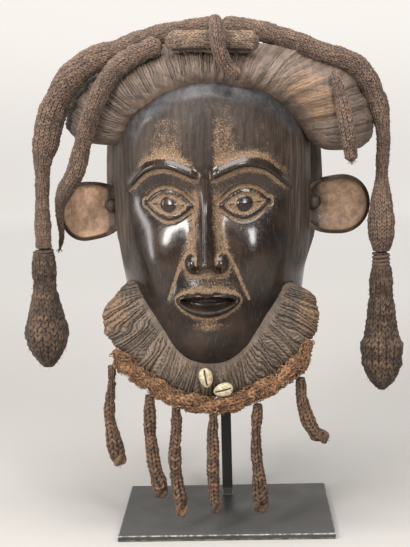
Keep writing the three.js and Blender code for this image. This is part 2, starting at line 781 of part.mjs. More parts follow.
object.add(piece('crown_roll', lock(ROLL.route, ROLL.steps, ROLL.sides, () => ROLL.radius), 'lock'));
BRAIDS.forEach(({ name, route, steps, sides }) => {
  object.add(piece(name, lock(route, steps, sides, routeRadius(route)), 'lock'));
});
TASSELS.forEach(({ name, route }) => {
  object.add(piece(name, lock(route, TASSEL.steps, TASSEL.sides, routeRadius(route)), 'tassel'));
});
BULBS.forEach((shape) => {
  const mesh = piece(shape.name, bulb(shape), 'lock');
  mesh.position.set(shape.x, shape.y, 0);
  object.add(mesh);
});

export default object;
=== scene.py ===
# A Bamileke helmet mask on its display stand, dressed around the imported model.
# Sizes are in millimetres, as in the part's source, and turn to metres where a mesh is made.

import math

import bpy
import numpy as np
from mathutils import Matrix, Vector


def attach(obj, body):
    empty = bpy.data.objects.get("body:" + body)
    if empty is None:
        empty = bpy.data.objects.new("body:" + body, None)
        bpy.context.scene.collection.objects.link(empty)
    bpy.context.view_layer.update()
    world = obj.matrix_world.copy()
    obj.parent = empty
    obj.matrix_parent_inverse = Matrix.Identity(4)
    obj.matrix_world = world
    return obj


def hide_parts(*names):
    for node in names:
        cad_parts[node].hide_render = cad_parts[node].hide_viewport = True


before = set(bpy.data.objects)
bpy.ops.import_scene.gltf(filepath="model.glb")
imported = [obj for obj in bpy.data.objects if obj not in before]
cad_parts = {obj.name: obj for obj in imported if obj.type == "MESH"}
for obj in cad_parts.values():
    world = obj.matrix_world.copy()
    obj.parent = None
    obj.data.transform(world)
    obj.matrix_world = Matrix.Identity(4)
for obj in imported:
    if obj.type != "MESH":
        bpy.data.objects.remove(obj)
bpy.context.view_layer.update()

MM = 0.001
TURN = 2 * math.pi
# The camera, solved from the base plate's corners
CAMERA = {
    "place": (20.2, -1135.0, 391.5),
    "yaw": -1.82,
    "pitch": 7.75,
    "roll": -1.5,
    "focal": 1203,
    "tall": 547,
    "sensor": 36,
    "nearMetres": 0.05,
    "farMetres": 60,
}

# Driving dimensions, as in the part's source, with a few more for the finer forms
PLACE = {"x": -7, "turn": -3}  # the mask stands a little left and is turned a few degrees
CEILING = 430
CHIN_Z = 165
THIRD = 85
NOSE_Z = CHIN_Z + THIRD
BROW_Z = NOSE_Z + THIRD
EYE = {"x": 34, "z": BROW_Z - 26, "width": 20, "height": 11, "pupil": 7.5}
NOSE = {"root": BROW_Z - 14, "tip": NOSE_Z + 9, "width": 19, "height": 26}
NOSTRIL = {"x": 10.2, "z": NOSE_Z + 2.2, "under": 7.5, "lean": 0.35, "radii": (4.6, 7.0, 5.4)}
MOUTH = {"z": NOSE_Z - THIRD / 3, "width": 29, "open": 5, "upper": 11, "lower": 13}
HEAD = {
    # Rings up the head, each stretch from, to and how many, and columns round it, closest over the face
    "rings": [(140, 160, 10), (161.2, 350, 160), (352, 412, 36), (418, 442, 5)],
    "frontColumns": 200,
    "backColumns": 36,
    "width": [(140, 62), (180, 74), (230, 84), (300, 92), (350, 93), (400, 87), (442, 60)],
    "front": [
        (140, 36), (158, 62), (168, 76), (185, 83), (230, 80),
        (300, 78), (345, 84), (385, 82), (420, 68), (442, 44),
    ],
    "back": [(140, 58), (200, 78), (260, 92), (330, 98), (390, 92), (442, 60)],
    "backWidth": [
        (140, 62), (200, 76), (235, 86), (255, 95), (275, 101),
        (300, 100), (330, 97), (360, 94), (400, 87), (442, 60),
    ],
    "point": [(140, 2.4), (185, 1.7), (230, 1.25), (280, 1), (442, 1)],
}
NECK_CUT = {"frontY": -50, "frontZ": 146, "backY": 100, "backZ": 236}
HOLLOW = {
    "bottom": 100,
    "width": [(100, 60), (200, 62), (260, 74), (320, 79), (380, 76), (430, 60)],
    "front": [(100, 32), (170, 34), (210, 52), (260, 63), (340, 65), (390, 60), (430, 42)],
    "back": [(100, 62), (200, 63), (260, 77), (330, 84), (390, 78), (430, 64)],
}
HAIR = {
    "z": 350,
    "outer": [
        (-84, 134), (-66, 134), (-57, 130.5), (-47, 119), (-24, 104), (0, 101),
        (22, 104.5), (40, 117), (49, 125), (55, 134), (61, 142.5), (68, 146), (76, 148.5), (87, 149),
    ],
    "inner": [
        (-80, 68), (-63, 61), (-45, 48), (-25, 49), (0, 53),
        (25, 54), (43, 66), (57, 73), (70, 81), (87, 95),
    ],
    # Where the slope of hair comes out of the forehead
    "line": [
        (-74, 78), (-63, 76), (-49, 69.5), (-25, 66), (0, 66.5),
        (25, 67.5), (43, 77.5), (57, 82), (70, 87), (81, 95),
    ],
    "from": -83,
    "to": 89,
    "middleY": -28,
    "halfDepth": 50,
    "lobePull": 13,
    "roundEnd": 9,
    "locks": 24,
    "lock": 2.2,
    "cords": 124,
    "samples": 5,
    "around": 98,
}
CAP = {
    "top": 455,
    "floor": 330,
    "y": 10,
    "halfWidth": 102,
    "frontWidth": 86,
    "halfDepth": 97,
    "frontDepth": 60,
    "backEdge": 262,
    "sideEdge": 300,
    "frontEdge": 400,
    "spread": 218,
    "locks": 12,
    "lock": 3,
    "square": 0.62,
    "columns": 252,
    "rings": 70,
}
RUFF = {
    "z": 250,
    "inner": [(-80, 58), (77, 58)],
    "outer": [
        (-80, 78), (-74, 91.5), (-69, 106.5), (-65, 113), (-58, 116.5), (-44, 114.5), (-28, 114.5),
        (-12, 118.5), (4, 119.5), (24, 115.5), (42, 115), (58, 112.5), (66, 106), (72, 98), (76, 79),
    ],
    # Where the cords begin outside the jaw
    "line": [(-80, 66), (-51, 69), (-30, 74), (-12, 84), (12, 85), (30, 76), (60, 70), (77, 68)],
    "y": [(-80, -30), (-45, -49), (0, -62), (45, -49), (80, -30)],
    "half": 13,
    "from": -80,
    "to": 77,
    "roundEnd": 7,
    "locks": 19,
    "lock": 2,
    "cords": 84,
    "samples": 5,
    "around": 122,
}
COLLAR = {
    "radius": 6.8,
    "from": -50,
    "to": 53,
    "out": 3.4,
    "forward": 10,
    # The knit inside the loops: a little thinner and closer to the ruff, most at the ends, and oval
    "core": 0.93,
    "closer": 1.2,
    "rightEndIn": 6,
    "leftEndIn": 2,
    "oval": (1.14, 1.05),
}
EAR = {
    "x": 120,
    "y": 0,
    "z": 300,
    "round": 26.5,
    "root": 12,
    "sweep": 0.14,
    # Where each paddle is fuller: the middle and width in degrees round it, and how far
    "swell": {-1: (-65, 45, 4), 1: (60, 60, 2.5)},
    "knob": {"x": 96, "y": -4, "z": 304, "radius": 6.5},
    # The paddle's cupped section: shares of its reach, and how far behind its middle
    "profile": [
        (0, 5.5), (0.3, 5.4), (0.55, 4.7), (0.74, 3.2), (0.84, 1), (0.89, -1.2), (0.93, -2.3), (0.97, -2.3),
        (1, -1), (1.01, 1.2), (0.99, 3.4), (0.93, 5.6), (0.82, 7.4), (0.6, 8.6), (0.3, 9), (0, 9),
    ],
}
COWRIE = {"length": 18, "width": 12.5, "height": 8}
COWRIES = {
    "cowrie_upper": {"beta": -2.2, "rho": 96.5, "tilt": 100},
    "cowrie_lower": {"beta": 6, "rho": 109, "tilt": 14},
}
GAP = 0.3

# Free fibre pieces: points along the middle with the radius there, as in the part's source
BRAIDS = {
    "braid_left_outer": {
        "route": [
            (0.8, -8, 468, 9), (-27, -9, 464.6, 9.2), (-50, -21, 459.6, 10), (-67, -37, 453.2, 10.4),
            (-86, -47.4, 444.7, 11), (-104.9, -48.8, 439.5, 11.5), (-121, -45.7, 431.5, 12),
            (-134.3, -42.5, 418.3, 12.2), (-145, -36, 402, 12), (-152.5, -32, 386, 12.6),
            (-157.2, -30, 368, 12.4), (-161.2, -29, 352, 9.2), (-162.7, -28, 333, 7), (-164, -27.5, 308, 6.8),
            (-164.5, -27, 287, 7.6), (-164.5, -27, 266.6, 7.6),
        ],
        "diameter": 21,
        "end": "knot",
        "taper": 1.6,
    },
    "braid_left_inner": {
        "route": [
            (-47.4, -61.5, 450.4, 8), (-55.3, -62.5, 446.9, 8.6), (-72, -63, 440, 8.8),
            (-88.5, -63.5, 428.5, 8.6), (-100, -65.2, 413, 8.2), (-107.3, -62.8, 398.5, 8),
            (-115, -55.8, 381, 7.8), (-122.5, -49.2, 360, 7.8), (-129.8, -45.5, 338, 8.6),
            (-141.2, -36.5, 321, 7.4), (-147.6, -24, 308, 5.4), (-150, -14, 292, 3.4), (-150, -8, 277, 2.6),
            (-153, -4, 264, 2),
        ],
        "diameter": 16,
        "end": "bare",
        "taper": 8,
    },
    "braid_centre": {
        "route": [
            (-2, -36, 462.5, 6.2), (-1, -56, 465, 6.2), (0, -71, 466.8, 6.2), (1.5, -86.6, 463.5, 6.2),
            (2.5, -94, 451.5, 6.2), (5, -92.8, 439.8, 6.4), (9, -88.6, 431.2, 6.4), (14.6, -86, 424, 6.2),
            (20.5, -84.8, 417.5, 5.6),
        ],
        "diameter": 12.5,
        "end": "bare",
        "taper": 3,
    },
    "braid_right_inner": {
        "route": [
            (103.5, -62.5, 421.5, 3.8), (107.3, -65.8, 409, 5), (110, -66.8, 396, 6),
            (112.5, -67.2, 384, 7), (114.6, -67.8, 372, 7.4), (116.3, -66.8, 361, 7),
            (117.6, -65, 351.5, 6.2), (118.2, -64.4, 343.5, 6.2),
        ],
        "diameter": 12.5,
        "end": "bare",
        "taper": 3,
    },
    "braid_right_outer": {
        "route": [
            (3.7, -8, 468, 9), (27.5, -8, 465, 9.2), (50, -17, 458.6, 9.2), (74.5, -30, 449.2, 9.2),
            (96, -35, 439.7, 9.2), (114.5, -33, 433.5, 9.4), (126, -31.5, 428, 9.8), (135.7, -30, 415.2, 10),
            (143.2, -28, 400, 9.8), (147.3, -28, 389, 8.7), (149.3, -27.5, 378, 7.5), (150.8, -27, 366, 6.6),
            (150.9, -27, 354, 6.1), (149.7, -28, 340, 6.3), (149.2, -28, 324, 6), (148.9, -28, 312, 8.4),
            (148.6, -28, 299, 10.8), (148.3, -28, 285, 12), (148.5, -28, 270, 11.2), (148.5, -28, 257, 7.2),
        ],
        "diameter": 19,
        "end": "knot",
        "taper": 1.6,
    },
}
TASSELS = {
    "tassel_1": [
        (-102.5, -51, 160.2, 3.6), (-102.6, -50.5, 147, 4), (-104.8, -50, 131, 4.9),
        (-106.2, -49.5, 115, 5.6), (-105.3, -49, 104, 6.2), (-103.4, -49, 90, 7.6),
        (-101, -48.5, 78, 8.2), (-98.5, -48, 66, 6),
    ],
    "tassel_2": [
        (-67.5, -61.5, 134.2, 4.6), (-68, -61, 117, 6), (-68.2, -60.5, 99, 6.2), (-66.8, -60, 83, 6.3),
        (-65, -60, 66, 7), (-61.8, -59.5, 52, 7.6), (-60.3, -59, 37.5, 6),
    ],
    "tassel_3": [
        (-43.5, -66.5, 122.7, 4.2), (-43.3, -66, 114, 4.9), (-44.2, -65.5, 99, 5.3), (-45.7, -65, 84, 6.1),
        (-45.8, -65, 69, 6.3), (-44.5, -64.5, 53, 6.6), (-41.8, -64, 36, 6.8), (-41, -64, 21, 5),
    ],
    "tassel_4": [
        (-9.5, -71.5, 118, 4), (-9.6, -71, 110, 4.9), (-10.6, -70, 99, 5.1), (-10.6, -69.5, 84, 6),
        (-11, -69, 69, 6.1), (-11, -68.5, 54, 6), (-10, -68, 37, 5.6), (-9.8, -68, 25, 4.6),
    ],
    "tassel_5": [
        (31.5, -69.5, 126, 4.2), (30, -69, 114, 5.4), (29, -68, 99, 4.9), (28.9, -67, 84, 5.4),
        (29.8, -66, 69, 5.8), (30.9, -65.5, 54, 6.8), (31.9, -65, 38, 8), (32.2, -65, 24, 6),
    ],
    "tassel_6": [
        (70.5, -64, 148.1, 4.6), (71, -63, 131, 5.6), (73.5, -61, 119, 6.4), (76, -60, 110, 6.5),
        (80, -59, 101, 6.6), (85.5, -58.5, 93.5, 6.8), (94, -58, 89.5, 6),
    ],
}
TASSEL = {"diameter": 12, "knotLength": 17}
ROLL = {
    "route": [
        (-42, -67.5, 450.5), (-21, -74.2, 450.8), (-3, -76.2, 450.1), (18, -74.4, 449.5), (37.5, -70, 448.3),
    ],
    "radius": 9.4,
}
BULBS = {
    "braid_left_outer_bulb": {
        "x": -165,
        "y": -27,
        "profile": [
            (266, 8.4), (260, 10.2), (244, 11.8), (229, 11.8), (219, 14), (207, 17), (196, 20.2), (185, 20.2),
            (174, 18.4), (163, 12.4), (155.5, 4.5),
        ],
    },
    "braid_right_outer_bulb": {
        "x": 148,
        "y": -28,
        "profile": [
            (256.5, 7), (247, 8), (236, 10.2), (213, 12.4), (190, 15.2), (179, 18), (167, 19.5), (156, 19.2),
            (145, 16.6), (134, 9.6), (128, 3.6),
        ],
    },
}

# Colours of the fibre: its darker tone, also the ground of the painted gap shade, its paler tone and its warm
# tone; how much of it is warm, and how strong the painted shade between the strands is
FIBRES = {
    "braid_fibre_knit": ((0.04, 0.027, 0.021), (0.15, 0.103, 0.08), (0.185, 0.117, 0.076), 0.15, 0.95),
    "bulb_fibre_knit": ((0.016, 0.011, 0.008), (0.083, 0.058, 0.044), (0.122, 0.076, 0.046), 0.3, 0.85),
    "roll_fibre": ((0.05, 0.035, 0.025), (0.182, 0.13, 0.1), (0.235, 0.156, 0.1), 0.25, 0.95),
    "collar_loops": ((0.05, 0.028, 0.016), (0.175, 0.103, 0.063), (0.275, 0.137, 0.064), 0.5, 0.85),
    "tassel_knit": ((0.027, 0.017, 0.012), (0.115, 0.073, 0.051), (0.168, 0.096, 0.053), 0.3, 0.95),
}
LIGHTS_FACE = (0, 0, 280)
ROOM = {"floor": -0.6, "front": -9000, "back": 3400, "bend": 900, "wide": 13000, "top": 3400}


# Small mathematics


def smooth(low, high, x):
    t = np.clip((x - low) / (high - low), 0, 1)
    return t * t * (3 - 2 * t)


def bell(x):
    return np.exp(-x * x)


def wave(x):
    """Rises from 0 to 1 and falls back once for each step of 1."""
    return 0.5 - 0.5 * np.cos(TURN * x)


def ring(count):
    """Angles evenly round a circle."""
    return np.linspace(0, TURN, count, endpoint=False)


def xyz(x, y, z):
    return np.stack(np.broadcast_arrays(x, y, z), axis=-1)


def unit(vectors):
    return vectors / np.linalg.norm(vectors, axis=-1, keepdims=True)


def through(points, x):
    """A smooth line through a few points, which never overshoots them."""
    at, value = np.array(points, float).T
    x = np.clip(x, at[0], at[-1])
    slope = np.diff(value) / np.diff(at)
    before, after = slope[:-1], slope[1:]
    total = np.where(before + after == 0, 1, before + after)
    bends = np.where(before * after > 0, 2 * before * after / total, 0)
    tangent = np.concatenate([slope[:1], bends, slope[-1:]])
    k = np.clip(np.searchsorted(at, x, side="right") - 1, 0, len(at) - 2)
    span = at[k + 1] - at[k]
    t = (x - at[k]) / span
    rise = value[k + 1] - value[k]
    start, end = tangent[k] * span, tangent[k + 1] * span
    return value[k] + start * t + (3 * rise - 2 * start - end) * t**2 + (start + end - 2 * rise) * t**3


def wobble(x, seed, octaves=3):
    """A gentle irregular wave of about unit size, the same each run."""
    phases = np.random.default_rng(seed).uniform(0, TURN, octaves)
    return sum(np.sin(x * 1.9**k + phases[k]) / 1.6**k for k in range(octaves)) / 1.6


def between(one, two, first, last, t):
    """Blends from one, at `first`, to two, at `last`."""
    return ((last - t) * one + (t - first) * two) / (last - first)


def catmull(points, count):
    """Evenly spaced points on a centripetal curve through the given ones, with any extra columns."""
    points = np.array(points, float)
    ends = np.vstack([2 * points[0] - points[1], points, 2 * points[-1] - points[-2]])
    spans = np.linalg.norm(np.diff(ends[:, :3], axis=0), axis=1) ** 0.5
    stretches = []
    for k in range(len(points) - 1):
        a, b, c, d = ends[k : k + 4]
        ta, tb, tc, td = np.concatenate([[0], np.cumsum(spans[k : k + 3])])
        t = np.linspace(tb, tc, 60)[:, None]
        ab, bc, cd = between(a, b, ta, tb, t), between(b, c, tb, tc, t), between(c, d, tc, td, t)
        stretches.append(between(between(ab, bc, ta, tc, t), between(bc, cd, tb, td, t), tb, tc, t))
    fine = np.vstack(stretches)
    run = np.concatenate([[0], np.cumsum(np.linalg.norm(np.diff(fine[:, :3], axis=0), axis=1))])
    even = np.linspace(0, run[-1], count)
    return np.stack([np.interp(even, run, column) for column in fine.T], axis=1)


def spread(values, count):
    """A few values stretched evenly over a number of steps."""
    return np.interp(np.linspace(0, 1, count), np.linspace(0, 1, len(values)), values)


def line_length(line):
    return float(np.linalg.norm(np.diff(line, axis=0), axis=1).sum())


# Meshes

scene = bpy.context.scene


def piece(name, points, faces, material, smooth_angle=50):
    """A mesh object from points in millimetres and lists of faces, all smooth but for the sharp creases."""
    mesh = bpy.data.meshes.new(name)
    sizes = np.concatenate([np.full(len(f), f.shape[1]) for f in faces])
    loops = np.concatenate([f.ravel() for f in faces]).astype(np.int32)
    mesh.vertices.add(len(points))
    mesh.vertices.foreach_set("co", (np.asarray(points) * MM).astype(np.float32).ravel())
    mesh.loops.add(len(loops))
    mesh.loops.foreach_set("vertex_index", loops)
    mesh.polygons.add(len(sizes))
    starts = np.concatenate([[0], np.cumsum(sizes)[:-1]]).astype(np.int32)
    mesh.polygons.foreach_set("loop_start", starts)
    mesh.update(calc_edges=True)
    mesh.validate()
    obj = bpy.data.objects.new(name, mesh)
    scene.collection.objects.link(obj)
    mesh.materials.append(material)
    finish_shading(mesh, smooth_angle)
    return obj


def finish_shading(mesh, smooth_angle):
    mesh.polygons.foreach_set("use_smooth", np.ones(len(mesh.polygons), bool))
    mesh.set_sharp_from_angle(angle=math.radians(smooth_angle))


def positions(mesh):
    """The mesh's points in millimetres."""
    flat = np.empty(len(mesh.vertices) * 3, np.float32)
    mesh.vertices.foreach_get("co", flat)
    return flat.reshape(-1, 3).astype(float) / MM


def store(mesh, marks):
    """Gives the mesh's points the values that its material reads."""
    for name, values in marks.items():
        data = mesh.attributes.new(name, "FLOAT", "POINT").data
        data.foreach_set("value", np.asarray(values, np.float32))


def closed_skin(rows):
    """Points and faces of a body from rows of rings, its ends closed on their middles, faces outwards."""
    rows = np.asarray(rows, float)
    count, around = rows.shape[:2]
    points = np.vstack([rows.reshape(-1, 3), rows[0].mean(axis=0), rows[-1].mean(axis=0)])
    i = np.arange(around)
    j = (i + 1) % around
    k = np.arange(count - 1)[:, None] * around
    quads = np.stack([k + i, k + j, k + around + j, k + around + i], axis=-1).reshape(-1, 4)
    last = (count - 1) * around
    first_cap = np.stack([j, i, np.full(around, count * around)], axis=1)
    last_cap = np.stack([last + i, last + j, np.full(around, count * around + 1)], axis=1)
    tris = np.vstack([first_cap, last_cap])

    def volume(a, b, c):
        return np.einsum("ij,ij->", points[a], np.cross(points[b], points[c]))

    a, b, c, d = quads.T
    if volume(a, b, c) + volume(a, c, d) + volume(*tris.T) < 0:
        quads, tris = quads[:, ::-1], tris[:, ::-1]
    return points, [quads, tris]


def on_skin(values):
    """Values on rows of rings, in the order of closed_skin's points."""
    return np.concatenate([values.ravel(), [values[0, 0], values[-1, 0]]])


def joined(bodies):
    """One set of points and faces from several."""
    points, faces, offset = [], [], 0
    for body_points, body_faces in bodies:
        points.append(body_points)
        faces.extend(f + offset for f in body_faces)
        offset += len(body_points)
    return np.vstack(points), faces


def combine(obj, operation, *tools):
    """Adds the tools' bodies to the object or takes them out. The faces they make keep their material."""
    for tool in tools:
        step = obj.modifiers.new("combine", "BOOLEAN")
        step.operation = operation
        step.solver = "MANIFOLD"
        step.material_mode = "TRANSFER"
        step.object = tool
        mesh = bpy.data.meshes.new_from_object(obj.evaluated_get(bpy.context.evaluated_depsgraph_get()))
        obj.modifiers.clear()
        before = obj.data
        obj.data = mesh
        bpy.data.meshes.remove(before)


def cavities(mesh, steps):
    """How far each point lies under its surroundings, in millimetres, for dust and shade in the carving."""
    at = positions(mesh)
    edges = np.empty(len(mesh.edges) * 2, np.int32)
    mesh.edges.foreach_get("vertices", edges)
    one, two = edges.reshape(-1, 2).T
    count = len(at)
    share = 1 / np.maximum(1, np.bincount(one, minlength=count) + np.bincount(two, minlength=count))
    eased = at.copy()
    for _ in range(steps):
        for axis in range(3):
            column = eased[:, axis]
            total = np.bincount(one, column[two], count) + np.bincount(two, column[one], count)
            eased[:, axis] = (column + total * share) / 2
    normals = np.empty(count * 3, np.float32)
    mesh.vertex_normals.foreach_get("vector", normals)
    return np.einsum("ij,ij->i", eased - at, normals.reshape(-1, 3))


def dress(obj, slot, *nodes):
    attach(obj, "root")
    if nodes:
        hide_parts(*nodes)


def turned(points, degrees):
    """x, y and z of points turned about the vertical."""
    turn = math.radians(degrees)
    c, s = math.cos(turn), math.sin(turn)
    x, y, z = np.moveaxis(np.asarray(points, float), -1, 0)
    return c * x - s * y, s * x + c * y, z


def placed(points):
    """From the carving's own frame to the stand's."""
    x, y, z = turned(points, PLACE["turn"])
    return xyz(x + PLACE["x"], y, z)


def unplaced(points):
    """From the stand's frame back to the carving's own."""
    return turned(points - np.array([PLACE["x"], 0, 0]), -PLACE["turn"])


# Shader nodes


class Nodes:
    """A short way to write a material's nodes."""

    def __init__(self, name):
        self.material = bpy.data.materials.new(name)
        self.material.use_nodes = True
        self.tree = self.material.node_tree
        self.shader = self.tree.nodes["Principled BSDF"]

    def add(self, kind, inputs, **settings):
        node = self.tree.nodes.new("ShaderNode" + kind)
        for key, value in settings.items():
            setattr(node, key, value)
        for key, value in inputs.items():
            self.put(node.inputs[key], value)
        return node.outputs

    def put(self, socket, value):
        if isinstance(value, bpy.types.NodeSocket):
            self.tree.links.new(value, socket)
        elif isinstance(value, tuple) and len(value) == 3 and len(getattr(socket, "default_value", ())) == 4:
            socket.default_value = (*value, 1)
        else:
            socket.default_value = value

    def attributes(self, *names):
        return [self.add("Attribute", {}, attribute_name=name)["Fac"] for name in names]

    def place(self, scale=(1, 1, 1)):
        """The object's own coordinates, in millimetres, stretched by a scale."""
        coordinates = self.add("TexCoord", {})["Object"]
        size = tuple(s / MM for s in scale)
        return self.add("Mapping", {"Vector": coordinates, "Scale": size})["Vector"]

    def noise(self, vector, scale, detail=3.0, roughness=0.55, distortion=0.0):
        inputs = {"Vector": vector, "Scale": scale, "Detail": detail, "Roughness": roughness}
        return self.add("TexNoise", {**inputs, "Distortion": distortion})["Fac"]

    def ramp(self, value, low, high, to_low=0.0, to_high=1.0):
        inputs = {"Value": value, "From Min": low, "From Max": high, "To Min": to_low, "To Max": to_high}
        return self.add("MapRange", inputs, interpolation_type="SMOOTHSTEP")["Result"]

    def maths(self, operation, a, b=0.0, c=0.0):
        return self.add("Math", {0: a, 1: b, 2: c}, operation=operation)[0]

    def total(self, *terms):
        """The sum of values times their weights, each counted from a middle where one is given."""
        result = 0.0
        for value, weight, *middle in terms:
            for zero in middle:
                value = self.maths("SUBTRACT", value, zero)
            result = self.maths("MULTIPLY_ADD", value, weight, result)
        return result

    def most(self, *terms):
        """The largest of values times their weights."""
        result = 0.0
        for value, weight in terms:
            result = self.maths("MAXIMUM", result, self.maths("MULTIPLY", value, weight))
        return result

    def mix(self, share, a, b):
        return self.add("Mix", {"Factor": share, "A": a, "B": b}, data_type="RGBA")["Result"]

    def bump(self, height, distance, strength=1.0, normal=None):
        inputs = {"Height": height, "Distance": distance * MM, "Strength": strength}
        if normal:
            inputs["Normal"] = normal
        return self.add("Bump", inputs)["Normal"]

    def finish(self, **inputs):
        for key, value in inputs.items():
            self.put(self.shader.inputs[key.replace("_", " ")], value)
        return self.material


# The face, as a height towards the front at x, z


def nose_relief(a, z):
    down = np.clip((NOSE["root"] - z) / (NOSE["root"] - NOSE["tip"]), 0, 1)
    under = smooth(NOSE_Z - 2, NOSE["tip"] - 2, z)
    height = (4 + (NOSE["height"] - 4) * down**1.35) * smooth(NOSE["root"] + 16, NOSE["root"] - 2, z) * under
    bridge = height * bell(a / (6 + 5 * down)) ** 1.1
    wing = np.hypot((a - NOSE["width"] + 7.5) / 8.6, (z - NOSE["tip"] + 1.5) / 9.5)
    return np.maximum(bridge, 13.5 * np.sqrt(np.maximum(0, 1 - wing**2)))


def brow_line(a):
    """The height of the brow's crest."""
    return BROW_Z - 4 + 13 * bell((a - 38) / 26) - 10 * smooth(52, 78, a)


def brow_relief(a, z):
    crest = brow_line(a)
    fall = np.where(z > crest, 5.0, 3.0)
    return 5.4 * bell((z - crest) / fall) * smooth(4, 13, a) * (1 - smooth(66, 78, a))


def eye_frame(a, z):
    """The height over the eye's axis, the lid's signed distance and the distance past its corners."""
    across = (a - EYE["x"]) / EYE["width"]
    lift = z - EYE["z"] - 1.2 * across
    lid = EYE["height"] * np.maximum(0, 1 - across**2)
    beyond = EYE["width"] * np.maximum(0, np.abs(across) - 1)
    edge = np.abs(lift) - lid
    return lift, np.where(beyond > 0, np.hypot(np.maximum(edge, 0), beyond), edge), beyond


def eye_relief(a, z):
    lift, edge, beyond = eye_frame(a, z)
    ball = np.where(edge < 0, 6.2 * np.sqrt(np.clip(-edge / EYE["height"], 0, 1)), 0)
    rim = 3.4 * bell((edge - 0.4) / 2.3) * (1 - smooth(4, 9, beyond))
    groove = -1.2 * bell((edge - 4.4) / 1.3) * (1 - smooth(2, 7, beyond))
    reach = np.hypot(a - EYE["x"], lift) / EYE["pupil"]
    pupil = 2.8 * np.sqrt(np.maximum(0, 1 - reach**2))
    return ball + rim + groove + pupil


def mouth_frame(a, z):
    """How far inside the corners, how high over the parting, and the way across the lip, 0 at the opening."""
    side = np.clip(1 - (a / MOUTH["width"]) ** 2, 0, 1)
    up = z - MOUTH["z"] - 2.5 * (a / MOUTH["width"]) ** 2
    opening = MOUTH["open"] * np.clip(1 - (a / (MOUTH["width"] - 5)) ** 2, 0, 1) ** 0.6
    upper = MOUTH["upper"] * side**0.55 - 1.8 * bell(a / 4.5)
    lower = MOUTH["lower"] * side**0.6
    lip = (np.abs(up) - opening) / np.maximum(0.1, np.where(up > 0, upper, lower) - opening)
    return side, up, lip


def mouth_relief(x, a, z):
    side, up, lip = mouth_frame(a, z)
    inside = smooth(0, -0.35, lip)
    gaps = bell(((x / 5.4) % 1 - 0.5) / 0.13)
    teeth = smooth(0.2, 1.2, up) * (2.9 - 1.3 * gaps) * (a < MOUTH["width"] - 6)
    full = np.where((lip >= 0) & (lip < 1), np.sin(math.pi * np.clip(lip, 0, 1) ** 0.8), 0)
    relief = np.where(lip < 0, (teeth - 5.5) * inside, 5.8 * full * side**0.35)
    return np.where(side > 0, relief, 0)


def face_relief(x, z):
    a = np.abs(x)
    forehead = 3.5 * bell(a / 46) * bell((z - 380) / 32)
    socket = -8 * bell((a - EYE["x"]) / 25) * bell((z - EYE["z"] - 2) / 17)
    cheek = 9 * bell((a - 47) / 25) * bell((z - 262) / 32)
    muzzle = 7 * bell(a / 35) * bell((z - MOUTH["z"] - 2) / 25)
    chin = 6 * bell(a / 24) * bell((z - 183) / 16)
    fold = -2.5 * bell(a / 22) * bell((z - 200) / 7)
    line = NOSE["width"] + 4 + 0.36 * (NOSE["tip"] - z)
    smile = -1.1 * bell((a - line) / 2.6) * smooth(218, 228, z) * (1 - smooth(250, 262, z))
    features = nose_relief(a, z) + brow_relief(a, z) + eye_relief(a, z) + mouth_relief(x, a, z)
    return forehead + socket + cheek + muzzle + chin + fold + smile + features


# The head


def head_surface(angle, z):
    facing = np.cos(angle)
    width = through(HEAD["width"], z)
    flare = (through(HEAD["backWidth"], z) - width) * smooth(0, 0.35, -facing)
    x = (width + flare) * np.sin(angle)
    front = through(HEAD["front"], z) * np.maximum(facing, 1e-9) ** through(HEAD["point"], z)
    front = -front - face_relief(x, z) * smooth(0, 0.35, facing)
    back = -through(HEAD["back"], z) * facing
    return xyz(x, np.where(facing > 0, front, back), z)


def head_body():
    heights = np.concatenate([np.linspace(*rings) for rings in HEAD["rings"]])
    across = np.linspace(-1, 1, HEAD["frontColumns"] + 1)
    front = (math.pi / 2) * np.sign(across) * np.abs(across) ** 1.16
    back = np.linspace(math.pi / 2, 1.5 * math.pi, HEAD["backColumns"] + 1)[1:-1]
    angle, z = np.meshgrid(np.concatenate([front, back]), heights)
    return closed_skin(placed(head_surface(angle, z)))


def neck_tool():
    """Everything under the sloping rim of the neck opening."""
    slope = (NECK_CUT["backZ"] - NECK_CUT["frontZ"]) / (NECK_CUT["backY"] - NECK_CUT["frontY"])
    far, low = 200, -100
    rows = []
    for y in (-far, far):
        top = NECK_CUT["frontZ"] + slope * (y - NECK_CUT["frontY"])
        rows.append([(-far, y, top), (far, y, top), (far, y, low), (-far, y, low)])
    return closed_skin(placed(rows))


def hollow_tool():
    heights = np.linspace(HOLLOW["bottom"], CEILING, 60)
    angle, z = np.meshgrid(ring(96), heights)
    facing = np.cos(angle)
    depth = np.where(facing > 0, through(HOLLOW["front"], z), through(HOLLOW["back"], z))
    gouge = 0.7 * np.cos(angle * 17 + 0.8 * np.sin(z / 21)) * np.cos(z / 6.5 + 2 * np.sin(angle * 3))
    gouge = (gouge - 0.7) * smooth(HOLLOW["bottom"] + 30, 190, z) * (1 - smooth(CEILING - 30, CEILING - 6, z))
    share = 1 + gouge / 80
    x = through(HOLLOW["width"], z) * np.sin(angle) * share
    return closed_skin(placed(xyz(x, -depth * facing * share, z)))


def ball_rows(radii, rings, around, start):
    """Rings of an egg round its upright axis, the first and last a little way from its tips."""
    t = np.linspace(start, math.pi - start, rings)[:, None]
    turn = ring(around)
    return xyz(np.sin(t) * np.cos(turn), np.sin(t) * np.sin(turn), np.cos(t)) * radii


def nostril_tool(side):
    """An egg-shaped hole that leads up and back under the nose's wing."""
    rows = ball_rows(NOSTRIL["radii"], rings=16, around=24, start=0.03)
    rows[..., 1] += NOSTRIL["lean"] * rows[..., 2]
    z = NOSE_Z - 5
    surface = head_surface(np.arcsin(NOSTRIL["x"] / through(HEAD["width"], z)), z)[1]
    return closed_skin(placed(rows + (side * NOSTRIL["x"], surface - NOSTRIL["under"], NOSTRIL["z"])))


